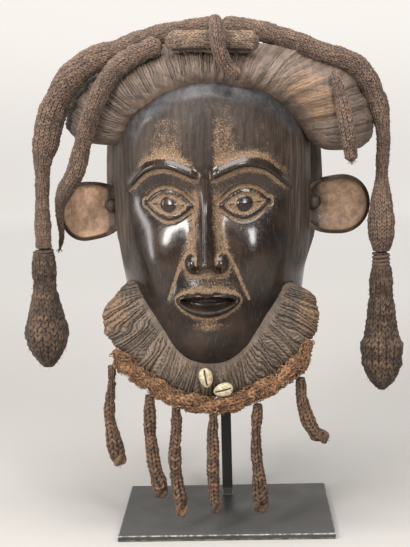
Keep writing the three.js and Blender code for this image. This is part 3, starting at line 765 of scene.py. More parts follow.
def ear_reach(side, around):
    """How far a paddle reaches from its middle in each direction."""
    at, width, by = EAR["swell"][side]
    off = np.abs((np.degrees(around) - at + 540) % 360 - 180)
    return EAR["round"] + by * bell(off / width) + EAR["root"] * np.maximum(0, -np.cos(around)) ** 2


def ear_body(side):
    """A cupped paddle with a thin raised rim, a little dished and worn."""
    share, depth, _ = catmull([(*at, 0) for at in EAR["profile"]], 56)[1:-1].T[:, :, None]
    around = ring(120)
    reach = ear_reach(side, around)
    out = reach * share * np.cos(around)
    ripple = 0.3 * np.sin(3 * around + 5 * share + side) * (share < 0.8)
    chip = 0.3 * wobble(around * 5, 40 + side) * smooth(0.8, 0.95, share)
    y = EAR["y"] + depth + ripple + chip + EAR["sweep"] * out
    return closed_skin(placed(xyz(side * (EAR["x"] + out), y, EAR["z"] + reach * share * np.sin(around))))


# The carved hair and ruff


def cord_profile(u):
    """The rounded cross-section of cords laid side by side, 1 on their crests and 0 between them."""
    return np.sqrt(np.maximum(0, 1 - (2 * (u % 1) - 1) ** 2 * 0.98))


def per_cord(u, seed):
    """One random number between 0 and 1 for each cord, also a few before the first one."""
    numbers = np.random.default_rng(seed).random(400)
    return numbers[np.clip(np.floor(u).astype(int) + 20, 0, len(numbers) - 1)]


def round_off(distance, length):
    """A rounded end: 0 at its tip and 1 from a length on."""
    return np.sqrt(np.maximum(0, 1 - np.clip(1 - distance / length, 0, 1) ** 2))


def uneven(share, sway, cords, seed):
    """Which of the cords, of uneven widths and a little bent, lies a share of the way along, from 0."""
    share = np.clip(share + sway * smooth(0, 0.06, share) * smooth(1, 0.94, share), 0, 1)
    widths = 1 + 0.5 * np.random.default_rng(seed).uniform(-1, 1, cords)
    edges = np.concatenate([[0], np.cumsum(widths)])
    return np.interp(share * edges[-1], edges, np.arange(cords + 1))


def grooves(u, out, seed, start):
    """How deep the carved lines between the cords are at each point, 1 at their deepest.

    u counts the cords across and out is the way from the line where they begin, in millimetres.
    """
    nearest = np.round(u)
    begin = start * per_cord(nearest, seed) ** 2.5
    strength = smooth(begin, begin + 7, out) * (0.4 + 0.6 * per_cord(nearest, seed + 1))
    return strength * (1 - 2 * np.abs(u - nearest)) ** 1.5


def section(form, degrees):
    """The middle of an arch's height there, and half of that height."""
    outer, inner = through(form["outer"], degrees), through(form["inner"], degrees)
    return (outer + inner) / 2, (outer - inner) / 2


def arch(form):
    """The skin of an arch: degrees along it and round its section, its ends' distance and its share."""
    degrees = np.linspace(form["from"], form["to"], form["cords"] * form["samples"] + 1)
    phase = ring(form["around"])
    angle = phase + 0.6 * np.sin(phase) - 1.5 * math.pi  # closer together at the front
    degrees, angle = np.meshgrid(degrees, angle, indexing="ij")
    end = np.minimum(degrees - form["from"], form["to"] - degrees)
    return degrees, angle, end, (degrees - form["from"]) / (form["to"] - form["from"])


def hair_body():
    """The arch of hair over the forehead, with lines carved out from its smooth lower slope."""
    degrees, angle, end, share = arch(HAIR)
    middle, half = section(HAIR, degrees)
    pull = HAIR["lobePull"] * np.minimum(1, np.abs(degrees) / 75) ** 2
    tip = 0.45 + 0.55 * round_off(end, HAIR["roundEnd"])
    out = middle + half * tip * np.cos(angle) - through(HAIR["line"], degrees)
    sway = 0.010 * np.sin(out / 16 + 9 * share) + 0.003 * wobble(share * 34 + out / 11, 5)
    u = uneven(share, sway, HAIR["cords"], 3)
    slope = 1 - smooth(2, 9, out)
    worn = 1 - 0.55 * smooth(15, 42, degrees)
    cut = grooves(u, out - 2, 7, 12) * (1 - 0.75 * slope) * worn
    locks = share * HAIR["locks"] + 14 * sway
    lock = HAIR["lock"] * wave(locks) * (0.25 + 0.5 * per_cord(np.round(locks), 9))
    lump = 0.7 * wobble(out / 9 + 25 * share, 11) * np.sin(31 * share + out / 17)
    lump = lump + 0.35 * wobble(out / 2.4 + 90 * share, 12) + 0.3 * wobble(out / 3.1 - 130 * share, 13)
    rib = 0.7 * per_cord(u, 3) * smooth(6, 12, out) * worn
    crest = (lock + lump + rib - 1.25 * cut) * smooth(0, 2, end) * smooth(-4, 6, out)
    crest = crest + 4.4 * smooth(-0.45, 0, np.sin(angle)) * smooth(10, 20, out) * smooth(0, 6, end)
    rho = middle + (half + crest) * tip * np.cos(angle)
    y = HAIR["middleY"] + pull + (HAIR["halfDepth"] - pull + crest) * tip * np.sin(angle)
    lean = np.radians(degrees)
    rows = xyz(rho * np.sin(lean), y, HAIR["z"] + rho * np.cos(lean))
    right = smooth(38, 52, degrees) * smooth(84, 70, degrees) * smooth(4, 14, out) * smooth(52, 34, out)
    low = 0.55 * slope * bell((degrees + 12) / 30)
    warm = np.maximum(np.maximum(0.9 * right, low), np.maximum(0.35 * smooth(-50, -66, degrees), 0.12))
    marks = {"groove": cut, "across": u, "along": out, "warm": warm, "slope": slope, "tint": per_cord(u, 21)}
    return closed_skin(placed(rows)), marks


def cap_body():
    """The hair over the back of the head, its cords running down from the crown."""
    angle, k = np.meshgrid(ring(CAP["columns"]) - math.pi, np.linspace(0.02, 1, CAP["rings"]) ** 0.9)
    behind = np.cos(angle)
    end = np.where(behind > 0, CAP["backEdge"], CAP["frontEdge"])
    low = CAP["sideEdge"] + (end - CAP["sideEdge"]) * smooth(0, 0.5, np.abs(behind))
    fall = (math.pi / 2) * k
    half = math.radians(CAP["spread"]) / 2
    u = (angle + half) / (2 * half) * CAP["locks"]
    crest = CAP["lock"] * wave(u) * smooth(0.1, 0.5, k) * smooth(half + 0.05, half - 0.05, np.abs(angle))
    v = u * 4 + 0.25 * np.sin(k * 9)
    cut = (1 - cord_profile(v)) * smooth(0.12, 0.35, k)
    crest = crest + (1.2 - cut) * (1.2 + 0.8 * per_cord(v, 8)) - 1.8
    reach = np.sin(fall) ** CAP["square"]
    width = CAP["frontWidth"] + (CAP["halfWidth"] - CAP["frontWidth"]) * smooth(-0.25, 0.12, behind) + crest
    depth = np.where(behind > 0, CAP["halfDepth"] + crest, CAP["frontDepth"])
    z = low + (CAP["top"] - low) * np.cos(fall) ** CAP["square"]
    skin = xyz(width * reach * np.sin(angle), CAP["y"] + depth * reach * behind, z)
    top = np.array([0, CAP["y"], CAP["top"]])
    floor = np.array([0, CAP["y"], CAP["floor"]])
    skin = np.concatenate([top + (skin[:1] - top) * 0.3, skin, floor + (skin[-1:] - floor) * 0.05])
    marks = {"groove": cut, "across": v, "along": k * 120, "warm": 0.15 + 0 * v, "slope": 0 * v}
    marks["tint"] = per_cord(v, 21)
    marks = {name: np.concatenate([values[:1], values, values[-1:]]) for name, values in marks.items()}
    return closed_skin(placed(skin)), marks


def ruff_place(rho, degrees, y):
    lean = np.radians(degrees)
    return xyz(rho * np.sin(lean), y, RUFF["z"] - rho * np.cos(lean))


def ruff_body():
    """The carved beard ruff: a smooth band round the face, then plaited cords running outwards."""
    degrees, angle, end, share = arch(RUFF)
    middle, half = section(RUFF, degrees)
    tip = 0.5 + 0.5 * round_off(end, RUFF["roundEnd"])
    out = middle + half * np.cos(angle) - through(RUFF["line"], degrees)
    sway = 0.010 * wobble(share * 34 + out / 16, 6) + 0.006 * np.sin(out / 12 + 11 * share)
    u = uneven(share, sway, RUFF["cords"], 13)
    slope = 1 - smooth(-1, 5, out)
    quiet = 1 - 0.55 * bell((degrees + 4) / 24) * smooth(24, 10, out)
    cut = grooves(u, out + 3, 17, 7) * (1 - 0.8 * slope) * quiet
    locks = share * RUFF["locks"] + 12 * sway
    lock = RUFF["lock"] * wave(locks) * (0.3 + 0.5 * per_cord(np.round(locks), 19)) * quiet
    lean_of_ply = np.where(np.floor(u) % 2 > 0, 1.3, -1.3)
    ply = np.sin(TURN * (out / 4.4 + lean_of_ply * (u % 1) + per_cord(u, 14)))
    crest = lock + 0.8 * per_cord(u, 15) - 1.8 * cut + 0.42 * ply * (1 - cut) * (1 - slope) * quiet
    crest = crest * smooth(-3, 5, out) + 0.5 * wobble(out / 8 + 20 * share, 16)
    rho = middle + (half + crest) * np.cos(angle)
    y = through(RUFF["y"], degrees) + (RUFF["half"] + crest) * tip * np.sin(angle)
    tips = smooth(12, 22, out) * np.maximum(smooth(-46, -62, degrees), smooth(46, 58, degrees))
    warm = np.maximum(tips, np.maximum(0.3 * slope, 0.1))
    # groove also takes the dips between the plies, which the material darkens as painted shade
    groove = np.clip(cut + 0.35 * (1 - ply) / 2 * (1 - slope) * quiet, 0, 1)
    marks = {"groove": groove, "across": u, "along": out, "warm": warm, "slope": slope}
    marks["tint"] = per_cord(u, 22)
    return closed_skin(placed(ruff_place(rho, degrees, y))), marks


# Fibre


def tangents_of(line):
    return unit(np.gradient(line, axis=0))


def frames_along(line):
    """Two directions across a line at each point that turn as little as they can."""
    tangents = tangents_of(line)
    start = np.array([0.0, 0.0, 1.0]) if abs(tangents[0][2]) < 0.8 else np.array([0.0, 1.0, 0.0])
    normals = [unit(start - tangents[0] * (start @ tangents[0]))]
    for tangent in tangents[1:]:
        normals.append(unit(normals[-1] - tangent * (normals[-1] @ tangent)))
    normals = np.array(normals)
    return tangents, normals, np.cross(tangents, normals)


def outward(angle, normals, across):
    """Directions that stand off a line at an angle round it."""
    return np.cos(angle)[..., None] * normals + np.sin(angle)[..., None] * across


def tube(line, radial, tall, wide, sides=10):
    """A closed tube along a line with rounded ends, its section an oval that stands along `radial`."""
    tangents = tangents_of(line)
    up = unit(radial - tangents * np.einsum("ij,ij->i", radial, tangents)[:, None])
    tall = np.broadcast_to(tall, len(line))[:, None, None]
    wide = np.broadcast_to(wide, len(line))[:, None, None]
    rows = line[:, None] + outward(ring(sides), up[:, None] * tall, np.cross(tangents, up)[:, None] * wide)
    first = line[0] + (rows[0] - line[0]) * 0.5 - tangents[0] * tall[0, 0] * 0.5
    last = line[-1] + (rows[-1] - line[-1]) * 0.5 + tangents[-1] * tall[-1, 0] * 0.5
    return np.concatenate([[first], rows, [last]])


class Fibre:
    """Collects the strands of one piece, with what its material reads.

    depth is 0 on the crests and 1 down between the strands, where the material paints shade; run is the way
    along a strand in millimetres, around the way across it, and tint a random number for each strand or
    stitch.
    """

    def __init__(self):
        self.bodies = []
        self.values = {"depth": [], "run": [], "around": [], "tint": []}

    def add(self, rows, **given):
        """Adds a body of rings, with each value given for all of it, for each ring or for each point."""
        self.bodies.append(closed_skin(rows))
        for key, kept in self.values.items():
            value = np.asarray(given[key], float)
            if value.ndim == 1:
                value = value[:, None]
            kept.append(on_skin(np.broadcast_to(value, rows.shape[:2])))

    def strand(self, rows, depth, tint, step):
        """Adds a plain tube, its threads running along it."""
        count, sides = rows.shape[:2]
        around = np.arange(sides)[None] / sides
        self.add(rows, depth=depth, run=np.arange(count) * step, around=around, tint=tint)

    def piece(self, name, material, slot):
        """The finished piece, which takes the place of the solid of that name."""
        obj = piece(f"{name}_plait", *joined(self.bodies), material, smooth_angle=70)
        store(obj.data, {key: np.concatenate(parts) for key, parts in self.values.items()})
        dress(obj, slot, name)
        return obj


def knit(fibre, route, radius, seed, stitch=3.3, columns=0, relief=1.25, lumps=0.05, tapers=(0, 0), **shape):
    """A dense knitted rope along a route, with columns of worn V-shaped stitches all round it.

    stitch is the height of one V in millimetres, relief how far the stitches stand out, lumps how uneven the
    rope is, and tapers the lengths over which its two ends draw in. shape may give oval, its section's two
    half widths as shares, and twist, how far its section turns along it.
    """
    oval, twist = shape.get("oval", (1, 1)), shape.get("twist", 0)
    length = line_length(route)
    line = catmull(route, int(length / stitch * 4.2) + 8)
    count = len(line)
    share = np.linspace(0, 1, count)
    big = spread(radius, count)
    middle = np.median(big)
    columns = columns or max(3, round(TURN * middle / (stitch * 1.12)))
    big = big * (1 + lumps * wobble(share * length / 5.5, seed + 900, 4))
    for taper, way in zip(tapers, (share, 1 - share)):
        if taper:
            big = big * (0.5 + 0.5 * smooth(0, taper, way * length))
    _, normals, across = frames_along(line)
    random = np.random.default_rng(seed)
    rise = np.cumsum(length / (count - 1) / (stitch * (big / middle) ** 0.5))[:, None]
    around = columns * max(5, round(36 / columns))
    turn = np.arange(around)[None] / around
    angle = turn * TURN
    stray = 0.22 * wobble(rise * 0.4 + 2.2 * np.sin(angle), seed + 920, 2)
    stray = stray + 0.18 * wobble(rise * 0.3 - 2.4 * np.cos(angle), seed + 925, 2)
    drift = 0.5 * wobble(share * length / 60, seed + 910)[:, None] + 0.5 * stray
    at = turn * columns + drift
    column = np.floor(at).astype(int) % columns
    leg = np.abs(2 * (at % 1) - 1)
    row = rise + 0.85 * leg + random.uniform(-0.3, 0.3, columns)[column] + stray
    index = np.floor(row).astype(int)
    part = row - index
    stitches = random.random((int(index.max()) + 3, columns))
    luck = stitches[np.clip(index, 0, None), column]
    bump = np.sqrt(np.maximum(0, 1 - (2 * part - 1) ** 2)) * (0.7 + 0.3 * part)
    bump = bump * np.maximum(0, 1 - (2 * leg - 1) ** 2) ** 0.5
    height = bump * (0.5 + 0.5 * smooth(0.02, 0.3, luck)) * (0.6 + 0.65 * luck)
    lean = 1.7 * wobble(share[:, None] * length / 35, seed + 930) + twist * share[:, None] * length
    squeeze = 1 + (lumps * 0.9 + (0.13 if twist else 0)) * np.cos(2 * angle + lean)
    away = big[:, None] * squeeze + relief * (height - 0.75)
    side = outward(angle, normals[:, None] * oval[0], across[:, None] * oval[1])
    rows = line[:, None] + side * away[..., None]
    # depth, 1 down between the stitches, is where the material paints shade
    fibre.add(rows, depth=1 - bump, run=leg * stitch + index * 7, around=part, tint=luck)
    return line, big


def hairs(fibre, roots, directions, lengths, thickness, seed, droop=0.25):
    """Short stray fibres, each a thin tapered thread."""
    random = np.random.default_rng(seed)
    rings = 5
    share = np.linspace(0, 1, rings)
    side = unit(np.cross(directions, random.normal(size=directions.shape)))
    thin = thickness * (1 - 0.7 * share)
    for root, direction, length, bend in zip(roots, directions, lengths, side):
        line = root + np.outer(share * length, direction) + np.outer(share**2 * length * 0.45, bend)
        line[:, 2] -= share**2 * length * droop
        rows = tube(line, np.tile(bend, (rings, 1)), thin, thin, sides=3)
        fibre.strand(rows, 0.15, random.random(), length / rings)


def fuzz(fibre, line, big, count, reach, seed, thickness=0.16):
    """Stray fibres that stand off a rope."""
    random = np.random.default_rng(seed)
    at = random.integers(2, len(line) - 2, count)
    tangents, normals, across = frames_along(line)
    angle = random.uniform(0, TURN, count)
    out = outward(angle, normals[at], across[at])
    direction = out * random.uniform(0.2, 0.75, count)[:, None]
    direction = unit(direction + tangents[at] * random.choice([-1, 1], count)[:, None])
    lengths = random.uniform(0.5, 1, count) * reach
    hairs(fibre, line[at] + out * big[at][:, None] * 0.9, direction, lengths, thickness, seed)


def loops(fibre, line, big, count, reach, seed, oval):
    """Curly threads that leave a rope and turn back into it."""
    random = np.random.default_rng(seed)
    at = random.integers(2, len(line) - 2, count)
    tangents, normals, across = frames_along(line)
    turn = np.linspace(0, math.pi, 7)
    for k in at:
        angle = random.uniform(0, TURN)
        out = outward(angle, normals[k] * oval[0], across[k] * oval[1])
        skew = random.normal(size=3)
        along = tangents[k] * random.choice([-1, 1]) + 0.8 * skew
        along = unit(along - out * (along @ out))
        size = reach * random.uniform(0.45, 1)
        root = line[k] + out * (big[k] - 0.3 * size)
        curve = root + np.outer(np.sin(turn) * size * 0.75, out) - np.outer(np.cos(turn) * size * 0.8, along)
        curve += np.outer(np.sin(2 * turn) * size * 0.2, skew)
        thick = random.uniform(0.22, 0.5)
        rows = tube(curve, np.tile(np.cross(out, along), (7, 1)), thick, thick, sides=4)
        # Painted shade: each loop is darkest where it dives back into the rope and palest at its top
        lift = np.sin(turn)[[0, *range(7), 6]]
        fibre.strand(rows, 0.75 - 0.7 * lift, random.random(), 1.2)


def tuft(fibre, end, direction, radius, count, seed):
    """The frayed end of a rope or a knot."""
    random = np.random.default_rng(seed)
    skew = random.normal(size=(count, 3)) * 0.28
    roots = end + skew * radius - direction * 1.5
    lengths = random.uniform(0.6, 1, count) * 5
    hairs(fibre, roots, unit(direction + skew), lengths, thickness=0.34, seed=seed + 1, droop=0.1)


def knot(fibre, centre, direction, radius, length, seed):
    """A tight overhand knot: a trefoil of one thick strand, drawn out along the plait."""
    t = np.linspace(0, TURN, 91)[:-1]
    strand = radius * 0.36
    big, small = radius * 0.42, radius * 0.24
    away = big + small * np.cos(3 * t)
    tall = np.sin(3 * t) * (length / 2 - strand)
    random = np.random.default_rng(seed)
    side = unit(np.cross(direction, random.normal(size=3)))
    other = np.cross(direction, side)
    out = np.outer(away * np.cos(2 * t), side) + np.outer(away * np.sin(2 * t), other)
    line = centre + out + np.outer(tall, direction)
    # The strand's two ends meet inside it
    line, out = (np.vstack([points, points[:3]]) for points in (line, out))
    fibre.strand(tube(line, out, strand, strand, sides=12), 0.25, random.random(), 1.2)


def windings(fibre, route, radius, turns, strand, seed):
    """Turns of one strand round a stretch of a rope."""
    count = int(turns * 40)
    line = catmull(route, count)
    _, normals, across = frames_along(line)
    angle = TURN * turns * np.linspace(0, 1, count) + seed
    out = outward(angle, normals, across)
    rows = tube(line + out * radius, out, strand, strand * 1.15)
    fibre.strand(rows, 0.3, 0.3 + 0.05 * (seed % 7), 1.2)


# Materials


def patina_material():
    """Oiled near-black wood: glossy on the raised forms, matt and brown where dust and wear lie."""
    n = Nodes("dark_patina")
    place = n.place()
    dust, haze, matt, dry, leather_and_shade = n.attributes("dust", "haze", "matt", "dry", "leather_and_shade")
    cloud = n.noise(place, 0.035, 4)
    blotch = n.noise(place, 0.13, 5, 0.7)
    grain = n.noise(n.place((1, 1, 0.12)), 0.55, 5, 0.6)
    streak = n.noise(n.place((1, 1, 0.06)), 0.3, 4, 0.65)
    speck = n.noise(place, 0.8, 5, 0.75)
    worn = n.mix(n.ramp(cloud, 0.35, 0.7), (0.0085, 0.006, 0.005), (0.026, 0.016, 0.011))
    worn = n.mix(n.ramp(grain, 0.5, 0.72, 0, 0.6), worn, (0.048, 0.03, 0.02))
    side = n.mix(n.ramp(streak, 0.38, 0.66), (0.03, 0.022, 0.018), (0.09, 0.069, 0.056))
    worn = n.mix(n.total((matt, 0.9)), worn, side)
    ochre = n.mix(n.ramp(speck, 0.36, 0.66), (0.06, 0.04, 0.027), (0.235, 0.155, 0.092))
    share = n.ramp(n.total((dust, 1), (speck, 1.5, 0.5), (blotch, 0.9, 0.5)), 0.28, 0.8)
    base = n.mix(share, worn, ochre)
    hide = n.mix(n.ramp(blotch, 0.3, 0.7), (0.165, 0.10, 0.064), (0.335, 0.22, 0.145))
    hide = n.mix(n.ramp(grain, 0.55, 0.72, 0, 0.5), hide, (0.09, 0.055, 0.036))
    # Leather colour in the ear cups, dimmed on the right ear as painted shade
    base = n.mix(leather_and_shade, base, hide)
    pale = n.mix(n.ramp(blotch, 0.3, 0.7), (0.022, 0.022, 0.024), (0.062, 0.061, 0.065))
    base = n.mix(n.total((haze, 0.85)), base, pale)
    dull = n.most((share, 0.9), (matt, 0.9), (dry, 1.25), (leather_and_shade, 1))
    rough = n.total((n.ramp(cloud, 0.3, 0.75, 0.14, 0.24), 1), (dull, 0.42), (n.ramp(speck, 0.52, 0.7), 0.2))
    normal = n.bump(n.noise(place, 0.11, 3, 0.6), 1.3, 0.5)
    normal = n.bump(n.total((grain, 0.6), (speck, 1)), 0.26, 0.6, normal)
    n.finish(Specular_IOR_Level=0.2, Coat_Roughness=0.17, Coat_Weight=n.ramp(dull, 0, 0.6, 0.55, 0))
    return n.finish(Base_Color=base, Roughness=rough, Normal=normal)


def carved_hair_material(name, dark, light, earth, shade):
    """The same wood left matt and earthy: pale worn cords, orange-brown wear, and near-black painted shade in
    the carved lines and hollows.
    """
    n = Nodes(name)
    place = n.place()
    groove, warm, slope, tint, cavity = n.attributes("groove", "warm", "slope", "tint", "cavity")
    across, along = n.attributes("across", "along")
    vector = n.add("CombineXYZ", {"X": n.total((across, 2.6)), "Y": n.total((along, 0.16))})[0]
    streak = n.noise(vector, 1.0, 4, 0.65)
    cloud = n.noise(place, 0.045, 4, 0.6)
    speck = n.noise(place, 1.2, 4, 0.7)
    lit = n.total((streak, 0.55), (speck, 0.3), (tint, 0.14, 0.5), (cloud, 0.3))
    base = n.mix(n.ramp(lit, 0.42, 0.74), dark, light)
    share = n.total((warm, 0.75), (tint, 0.3), (streak, 0.8, 0.5))
    base = n.mix(n.ramp(share, 0.5, 1.05, 0, 0.7), base, (0.2, 0.115, 0.06))
    soil = n.mix(n.ramp(n.total((cloud, 0.5), (speck, 0.5)), 0.38, 0.64), *earth)
    base = n.mix(n.total((slope, 0.7)), base, soil)
    # Painted shade: near black down in the carved lines, and in the hollows by how deep they lie
    base = n.mix(n.ramp(groove, 0.12, 0.9, 0, shade), base, (0.013, 0.009, 0.006))
    base = n.mix(n.ramp(cavity, 0.25, 0.9, 0, 0.7), base, (0.014, 0.010, 0.008))
    normal = n.bump(n.noise(place, 0.4, 4, 0.65), 0.7, 0.8)
    normal = n.bump(n.total((streak, 1.2), (speck, 1)), 0.45, 0.8, normal)
    return n.finish(Base_Color=base, Roughness=n.ramp(speck, 0.3, 0.62, 0.4, 0.85), Normal=normal)


def raw_wood_material():
    """The gouged, unpolished inside of the hollow."""
    n = Nodes("raw_wood")
    grain = n.noise(n.place((1, 1, 0.08)), 0.5, 5, 0.6, 0.4)
    cloud = n.noise(n.place(), 0.02, 3)
    base = n.mix(n.ramp(grain, 0.35, 0.7), (0.085, 0.048, 0.025), (0.2, 0.125, 0.07))
    base = n.mix(n.ramp(cloud, 0.45, 0.7, 0, 0.7), base, (0.035, 0.021, 0.013))
    return n.finish(Base_Color=base, Roughness=0.82, Normal=n.bump(grain, 0.5, 0.7))


def fibre_material(name):
    """Knitted plant fibre: fine threads along each strand, with near-black painted shade down between the
    stitches.
    """
    dark, light, warm, warmth, shade = FIBRES[name]
    n = Nodes(name)
    depth, run, tint, around = n.attributes("depth", "run", "tint", "around")
    place = n.place()
    lean = n.total((around, 9.0), (tint, 40.0))
    thread = n.noise(n.add("CombineXYZ", {"X": lean, "Y": n.total((run, 0.3)), "Z": tint})[0], 1.0, 3, 0.6)
    cloud = n.noise(place, 0.045, 4, 0.6)
    speck = n.noise(place, 0.55, 4, 0.7)
    lit = n.total((thread, 0.45), (speck, 0.55), (tint, 0.12, 0.5), (cloud, 0.25, 0.5))
    base = n.mix(n.ramp(lit, 0.25, 0.66), dark, light)
    share = n.total((tint, 0.4), (cloud, 0.5), (speck, 0.4))
    base = n.mix(n.ramp(share, 0.6 - warmth * 0.3, 1.1 - warmth * 0.3, 0, 0.8), base, warm)
    # Painted shade: near black down between the stitches and strands, by depth
    base = n.mix(n.ramp(depth, 0.32, 0.8, 0, shade), base, tuple(c * 0.2 for c in dark))
    normal = n.bump(n.total((thread, 1), (speck, 1)), 0.5, 0.9)
    n.finish(Specular_IOR_Level=0.15, Sheen_Weight=0.05, Sheen_Roughness=0.5)
    return n.finish(Base_Color=base, Roughness=0.85, Normal=normal)


def shell_material():
    """Worn cowrie: cream enamel with brown specks and scratches, and near-black painted shade down in its
    mouth.
    """
    n = Nodes("cowrie")
    cloud = n.noise(n.place(), 0.25, 4)
    speck = n.noise(n.place(), 1.2, 3, 0.65)
    base = n.mix(n.ramp(cloud, 0.35, 0.7), (0.26, 0.215, 0.13), (0.47, 0.41, 0.29))
    base = n.mix(n.ramp(speck, 0.5, 0.66, 0, 0.8), base, (0.09, 0.062, 0.036))
    # Painted shade: near black in the shell's hollows, its toothed mouth most of all
    base = n.mix(n.ramp(*n.attributes("cavity"), 0.08, 0.45), base, (0.016, 0.011, 0.008))
    rough = n.ramp(speck, 0.3, 0.7, 0.25, 0.6)
    return n.finish(Base_Color=base, Roughness=rough, Normal=n.bump(speck, 0.25, 0.6))


def steel_material():
    """Blackened steel, the plate with rubbed edges, pale scuffs and a few scratches, the bar darker."""
    n = Nodes("blackened_steel")
    place = n.place()
    cloud = n.noise(place, 0.018, 5, 0.6)
    speck = n.noise(place, 0.9, 3, 0.7)
    streak = n.noise(n.place((0.06, 1, 1)), 0.8, 3, 0.6)
    base = n.mix(n.ramp(cloud, 0.3, 0.7), (0.034, 0.033, 0.031), (0.058, 0.056, 0.053))
    base = n.mix(n.ramp(streak, 0.68, 0.78, 0, 0.5), base, (0.09, 0.09, 0.085))
    bevel = n.add("Bevel", {"Radius": 1.3 * MM}, samples=4)["Normal"]
    flat = n.add("NewGeometry", {})["Normal"]
    turn = n.add("VectorMath", {0: bevel, 1: flat}, operation="DOT_PRODUCT")["Value"]
    rubbed = n.maths("MULTIPLY", n.ramp(turn, 0.995, 0.93), n.ramp(n.noise(place, 0.22, 4, 0.7), 0.42, 0.58))
    base = n.mix(n.total((rubbed, 0.8)), base, (0.55, 0.54, 0.52))
    base = n.mix(n.ramp(n.noise(place, 0.16, 3, 0.6), 0.7, 0.74, 0, 0.45), base, (0.3, 0.3, 0.29))
    high = n.add("SeparateXYZ", {"Vector": place})["Z"]
    base = n.mix(n.ramp(high, 12, 13), base, (0.012, 0.012, 0.012))
    rough = n.ramp(n.total((cloud, 1), (speck, 0.3)), 0.4, 0.9, 0.36, 0.6)
    return n.finish(Base_Color=base, Roughness=rough, Metallic=0.35, Normal=n.bump(speck, 0.06, 0.4))


# The carving


def carving():
    patina, raw = patina_material(), raw_wood_material()
    earth = (0.04, 0.027, 0.02), (0.13, 0.083, 0.056)
    hair = carved_hair_material("carved_hair", (0.056, 0.04, 0.03), (0.142, 0.1, 0.075), earth, 0.68)
    earth = (0.028, 0.02, 0.015), (0.085, 0.06, 0.044)
    beard = carved_hair_material("carved_beard", (0.04, 0.028, 0.019), (0.15, 0.106, 0.074), earth, 0.85)
    hollow = piece("hollow_tool", *hollow_tool(), raw)
    neck = piece("neck_tool", *neck_tool(), raw)
    nostrils = [piece(f"nostril_tool_{side}", *nostril_tool(side), patina) for side in (-1, 1)]
    head = piece("carved_head", *head_body(), patina)
    combine(head, "DIFFERENCE", neck, *nostrils)
    parts = []
    knob = EAR["knob"]
    for side in (-1, 1):
        middle = placed((side * knob["x"], knob["y"], knob["z"]))
        bead = closed_skin(ball_rows(knob["radius"], rings=20, around=32, start=0.06) + middle)
        parts += [piece(f"ear_{side}", *ear_body(side), patina), piece(f"bead_{side}", *bead, patina)]
    combine(head, "UNION", *parts)
    pieces = [head]
    for name, (body, marks), material in (
        ("carved_hair", hair_body(), hair),
        ("carved_cap", cap_body(), hair),
        ("carved_ruff", ruff_body(), beard),
    ):
        obj = piece(name, *body, material)
        store(obj.data, {key: on_skin(values) for key, values in marks.items()})
        pieces.append(obj)
    for obj in pieces:
        combine(obj, "DIFFERENCE", hollow)
        mark_carving(obj.data)
        finish_shading(obj.data, 50)
        dress(obj, "carved_wood", "mask")
    for tool in [hollow, neck, *nostrils, *parts]:
        bpy.data.objects.remove(tool)


def mark_carving(mesh):
    """Stores where dust, haze, dull wear and leather lie on the wood, and how deep each point is, for painted
    shade.
    """
    x, y, z = unplaced(positions(mesh))
    fine, broad = cavities(mesh, 3), cavities(mesh, 40)
    a = np.abs(x)
    front = smooth(10, -25, y)
    lift, edge, beyond = eye_frame(a, z)
    reach = np.hypot(a - EYE["x"], lift) / EYE["pupil"]
    eye = smooth(1.4, 0.2, edge) * (1 - smooth(0.5, 3, beyond)) * smooth(1.0, 1.12, reach)
    crest = brow_line(a)
    socket = 0.55 * bell((a - EYE["x"]) / 32) * bell((z - EYE["z"] - 4) / 24) * (z < crest)
    muzzle = 0.5 * bell(a / 40) * bell((z - MOUTH["z"] - 8) / 24)
    ridge = 0.42 * bell(a / 10) * bell((z - NOSE["tip"] - 25) / 30)
    chin = 0.08 * smooth(196, 172, z)
    degrees = np.degrees(np.arctan2(x, z - HAIR["z"]))
    below = through(HAIR["line"], degrees) - np.hypot(x, z - HAIR["z"])
    haze = smooth(-1, 3, below) * smooth(18, 8, below) * smooth(86, 70, np.abs(degrees)) * front
    upper = smooth(5, 12, z - crest)
    patches = smooth(4, 12, x) * smooth(34, 18, x) + 0.7 * smooth(-16, -24, x) * smooth(-52, -36, x)
    forehead = (0.34 + 0.3 * patches) * upper * smooth(12, 20, below)
    forehead = forehead * (0.2 + 0.8 * smooth(3, 12, np.abs(x + 2)))
    dust = np.maximum.reduce([0.95 * eye, socket, muzzle, ridge, chin, forehead]) * front
    dust = dust + np.clip(fine / 0.3, -0.45, 0.6) + np.clip(broad / 1.8, -0.25, 0.35) * front
    lip = mouth_frame(a, z)[2]
    mouth = (lip < 0.1) & (a < MOUTH["width"]) & (np.abs(z - MOUTH["z"]) < 14) & (y < -40)
    sides = smooth(66, 80, a) * smooth(232, 262, z) * (a < 100)
    around = np.arctan2(z - EAR["z"], a - EAR["x"])
    reach = np.where(x < 0, ear_reach(-1, around), ear_reach(1, around))
    paddle = np.hypot(a - EAR["x"], z - EAR["z"]) / reach
    cup = smooth(98, 102, a) * smooth(0.91, 0.85, paddle) * (y < EAR["y"] + 7 + EAR["sweep"] * (a - EAR["x"]))
    knob = EAR["knob"]
    off_knob = smooth(0.9, 1.1, np.hypot(a - knob["x"], z - knob["z"]) / knob["radius"])
    marks = {
        "dust": np.clip(np.where(mouth, 0.1, dust), 0, 1),
        "haze": haze,
        "matt": np.clip(np.maximum(sides, 0.3 * upper * front), 0, 1),
        "dry": np.maximum.reduce([smooth(240, 190, z), 0.6 * upper * (1 - haze), 0.35 * haze]) * front,
        # Ear cups show leather; the right ear only 0.6 of it, so the dark patina shows through there as
        # painted shade
        "leather_and_shade": cup * np.where(x < 0, 1, 0.6) * off_knob,
        # How deep each point lies, which the carved hair and ruff paint as shade
        "cavity": np.clip(fine / 0.35 + broad / 3.0, 0, 1),
    }
    store(mesh, marks)


# Cowries


